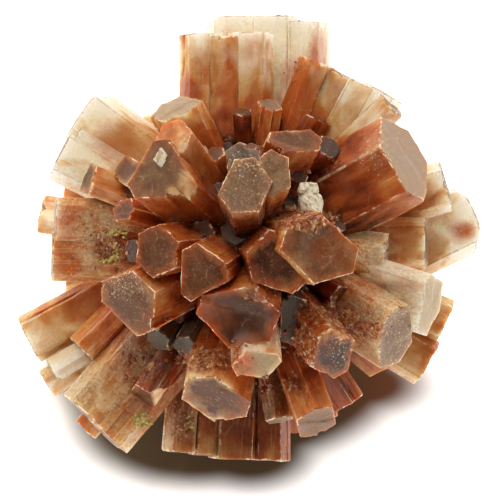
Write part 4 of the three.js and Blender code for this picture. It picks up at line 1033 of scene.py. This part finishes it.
# Weathered calcite: chalky grey-white with darker specks 0.4 mm across and brown dirt in its
# cracks.
calcite, calcite_tree = start_material("weathered_calcite")
calcite_place = node(calcite_tree, "TexCoord", output="Object")
calcite_speck = node(calcite_tree, "TexNoise", {"Vector": calcite_place, "Scale": 2600.0, "Detail": 5.0})
calcite_colour = node(calcite_tree, "ValToRGB", [calcite_speck], stops=[
    (0.34, "#A3A18E"), (0.44, "#DADBC8"), (0.6, "#F5F6E6"), (0.75, "#FCFCF2")])
calcite_look = node(calcite_tree, "Attribute", output="Vector", attribute_name="look")
calcite_crack = node(calcite_tree, "SeparateXYZ", [calcite_look])
calcite_colour = node(calcite_tree, "Mix", {
    SHARE: calcite_crack, BELOW: calcite_colour, ABOVE: hex_colour("#6A5A46")}, **COLOURS)
calcite_relief = node(calcite_tree, "Bump", {"Strength": 0.4, "Distance": 0.0001, "Height": calcite_speck})
cover(pale_mesh, calcite, node(calcite_tree, "BsdfPrincipled", {
    "Base Color": calcite_colour, "Roughness": 0.55, "IOR": 1.6, "Normal": calcite_relief}))


# The surface that the cluster rests on, the light and the camera.
# A matt white sweep inside a bright tent, with a large soft light almost overhead and a small one that makes
# the glints. The pale tips glow, and a short soft shadow, painted on the sweep, lies close round the cluster.
# Lengths here are metres.
FLOOR_REACH = 1.5
floor_corners = np.array([[-1, -1, 0], [1, -1, 0], [1, 1, 0], [-1, 1, 0]]) * FLOOR_REACH
floor_mesh = make_mesh("floor", floor_corners, np.array([[0, 1, 2, 3]]), np.zeros((0, 3), int))
floor = bpy.data.objects.new("floor", floor_mesh)
bpy.context.scene.collection.objects.link(floor)

# Matt white paper, dead flat, with a shadow painted on it in warm grey close round the cluster and painted
# amber light at its right end, where light comes through the crystals. Outside the painted shadow it glows
# evenly bright by its own emission. The painted shadow is ovals that melt into each other: the middle of
# each, its half sizes, and how far it blends with the ones before it.
PAINTED_SHADOW_OVALS = [((-0.0025, -0.0012, 0.0), (0.0185, 0.0127, 1.0), 0.0),
                ((-0.0058, -0.0084, 0.0), (0.012, 0.008, 1.0), 0.002),
                ((0.0002, -0.0127, 0.0), (0.0054, 0.004, 1.0), 0.001),
                ((0.0132, -0.0044, 0.0), (0.0044, 0.0026, 1.0), 0.001)]
PAINTED_SHADOW_EDGE = (-0.0008, 0.0036)
PAINTED_AMBER_FROM_TO = (0.008, 0.014)
paper = bpy.data.materials.new("white_paper_with_painted_shadow")
paper.use_nodes = True
paper_tree = paper.node_tree
paper_surface = paper_tree.nodes["Principled BSDF"]
paper_surface.inputs["Roughness"].default_value = 0.9
paper_surface.inputs["Emission Color"].default_value = hex_colour("#FFFFFF")
flat = node(paper_tree, "TexCoord", output="Object")
nearest = None
for oval_middle, oval_reach, blend in PAINTED_SHADOW_OVALS:
    from_middle = node(paper_tree, "VectorMath", [flat, oval_middle], operation="SUBTRACT")
    from_middle = node(paper_tree, "VectorMath", [from_middle, oval_reach], operation="DIVIDE")
    outward = node(paper_tree, "VectorMath", [from_middle], "Value", operation="LENGTH")
    beyond = node(paper_tree, "Math", [outward, oval_reach[1], -oval_reach[1]], operation="MULTIPLY_ADD")
    if nearest:
        beyond = node(paper_tree, "Math", [nearest, beyond, blend], operation="SMOOTH_MIN")
    nearest = beyond
# Painted shadow: inside the ovals the paper is coloured warm grey, with painted amber light towards its right
# end.
outside_painted_shadow = node(paper_tree, "MapRange", [nearest, *PAINTED_SHADOW_EDGE, 0.0, 1.0], interpolation_type="SMOOTHSTEP")
rightward = node(paper_tree, "SeparateXYZ", [flat])
painted_amber_light = node(paper_tree, "MapRange", [rightward, *PAINTED_AMBER_FROM_TO, 0.0, 1.0])
painted_shadow_tone = node(paper_tree, "Mix", {
    SHARE: painted_amber_light, BELOW: hex_colour("#786B54"), ABOVE: hex_colour("#84563A")}, **COLOURS)
paper_with_painted_shadow = node(paper_tree, "Mix", {SHARE: outside_painted_shadow, BELOW: painted_shadow_tone, ABOVE: hex_colour("#F4F3F1")}, **COLOURS)
paper_tree.links.new(paper_with_painted_shadow, paper_surface.inputs["Base Color"])
# The paper glows by its own emission wherever the painted shadow does not lie.
paper_tree.links.new(outside_painted_shadow, paper_surface.inputs["Emission Strength"])
floor_mesh.materials.append(paper)

# The sky is a bright tent, brightest behind the cluster and dim behind the camera.
SKY_BRIGHT, SKY_DIM = 2.2, 0.12
sky = bpy.data.worlds.new("white_tent")
bpy.context.scene.world = sky
sky.use_nodes = True
facing = node(sky.node_tree, "TexCoord", output="Generated")
towards_viewer = node(sky.node_tree, "VectorMath", [facing, tuple(FRONT)], "Value", operation="DOT_PRODUCT")
shade = node(sky.node_tree, "MapRange", [towards_viewer, -0.5, 0.85, SKY_BRIGHT, SKY_DIM])
background = sky.node_tree.nodes["Background"]
background.inputs["Color"].default_value = hex_colour("#FFF4E4")
sky.node_tree.links.new(shade, background.inputs["Strength"])


def soft_light(name, place, aim, size, power):
    """A square area light, its power in watts, aimed at a point by a tilt from the level and a pan
    round the upright."""
    lamp = bpy.data.lights.new(name, "AREA")
    lamp.size = size
    lamp.energy = power
    lamp.color = hex_colour("#FFF0DC")[:3]
    holder = bpy.data.objects.new(name, lamp)
    bpy.context.scene.collection.objects.link(holder)
    offset = np.array(aim) - np.array(place)
    pan = math.atan2(offset[1], offset[0])
    tilt = math.atan2(offset[2], math.hypot(offset[0], offset[1]))
    holder.location = place
    holder.rotation_euler = (math.pi / 2 + tilt, 0, pan - math.pi / 2)


middle = tuple(CORE * MM)
soft_light("overhead", place=(-0.08, 0.08, 0.52), aim=middle, size=0.16, power=1.0)
soft_light("glint", place=(-0.07, -0.09, 0.32), aim=middle, size=0.02, power=0.1)

# The camera looks at the core along the front pole, through a long lens.
CAMERA_DISTANCE = 0.32
FRAME_WIDTH = 0.054
FRAME_SHIFT = (0.004, -0.014)
SENSOR = 36.0
camera_data = bpy.data.cameras.new("camera")
camera_data.sensor_width = SENSOR
camera_data.lens = SENSOR * CAMERA_DISTANCE / FRAME_WIDTH
camera_data.shift_x, camera_data.shift_y = FRAME_SHIFT
camera_data.clip_start = 0.01
camera_data.clip_end = 10.0
camera = bpy.data.objects.new("camera", camera_data)
camera.location = tuple(CORE * MM + FRONT * CAMERA_DISTANCE)
camera.rotation_euler = (math.pi / 2 - FRONT_POLE, 0, 0)
bpy.context.scene.collection.objects.link(camera)
bpy.context.scene.camera = camera
bpy.context.scene.view_settings.view_transform = "Standard"
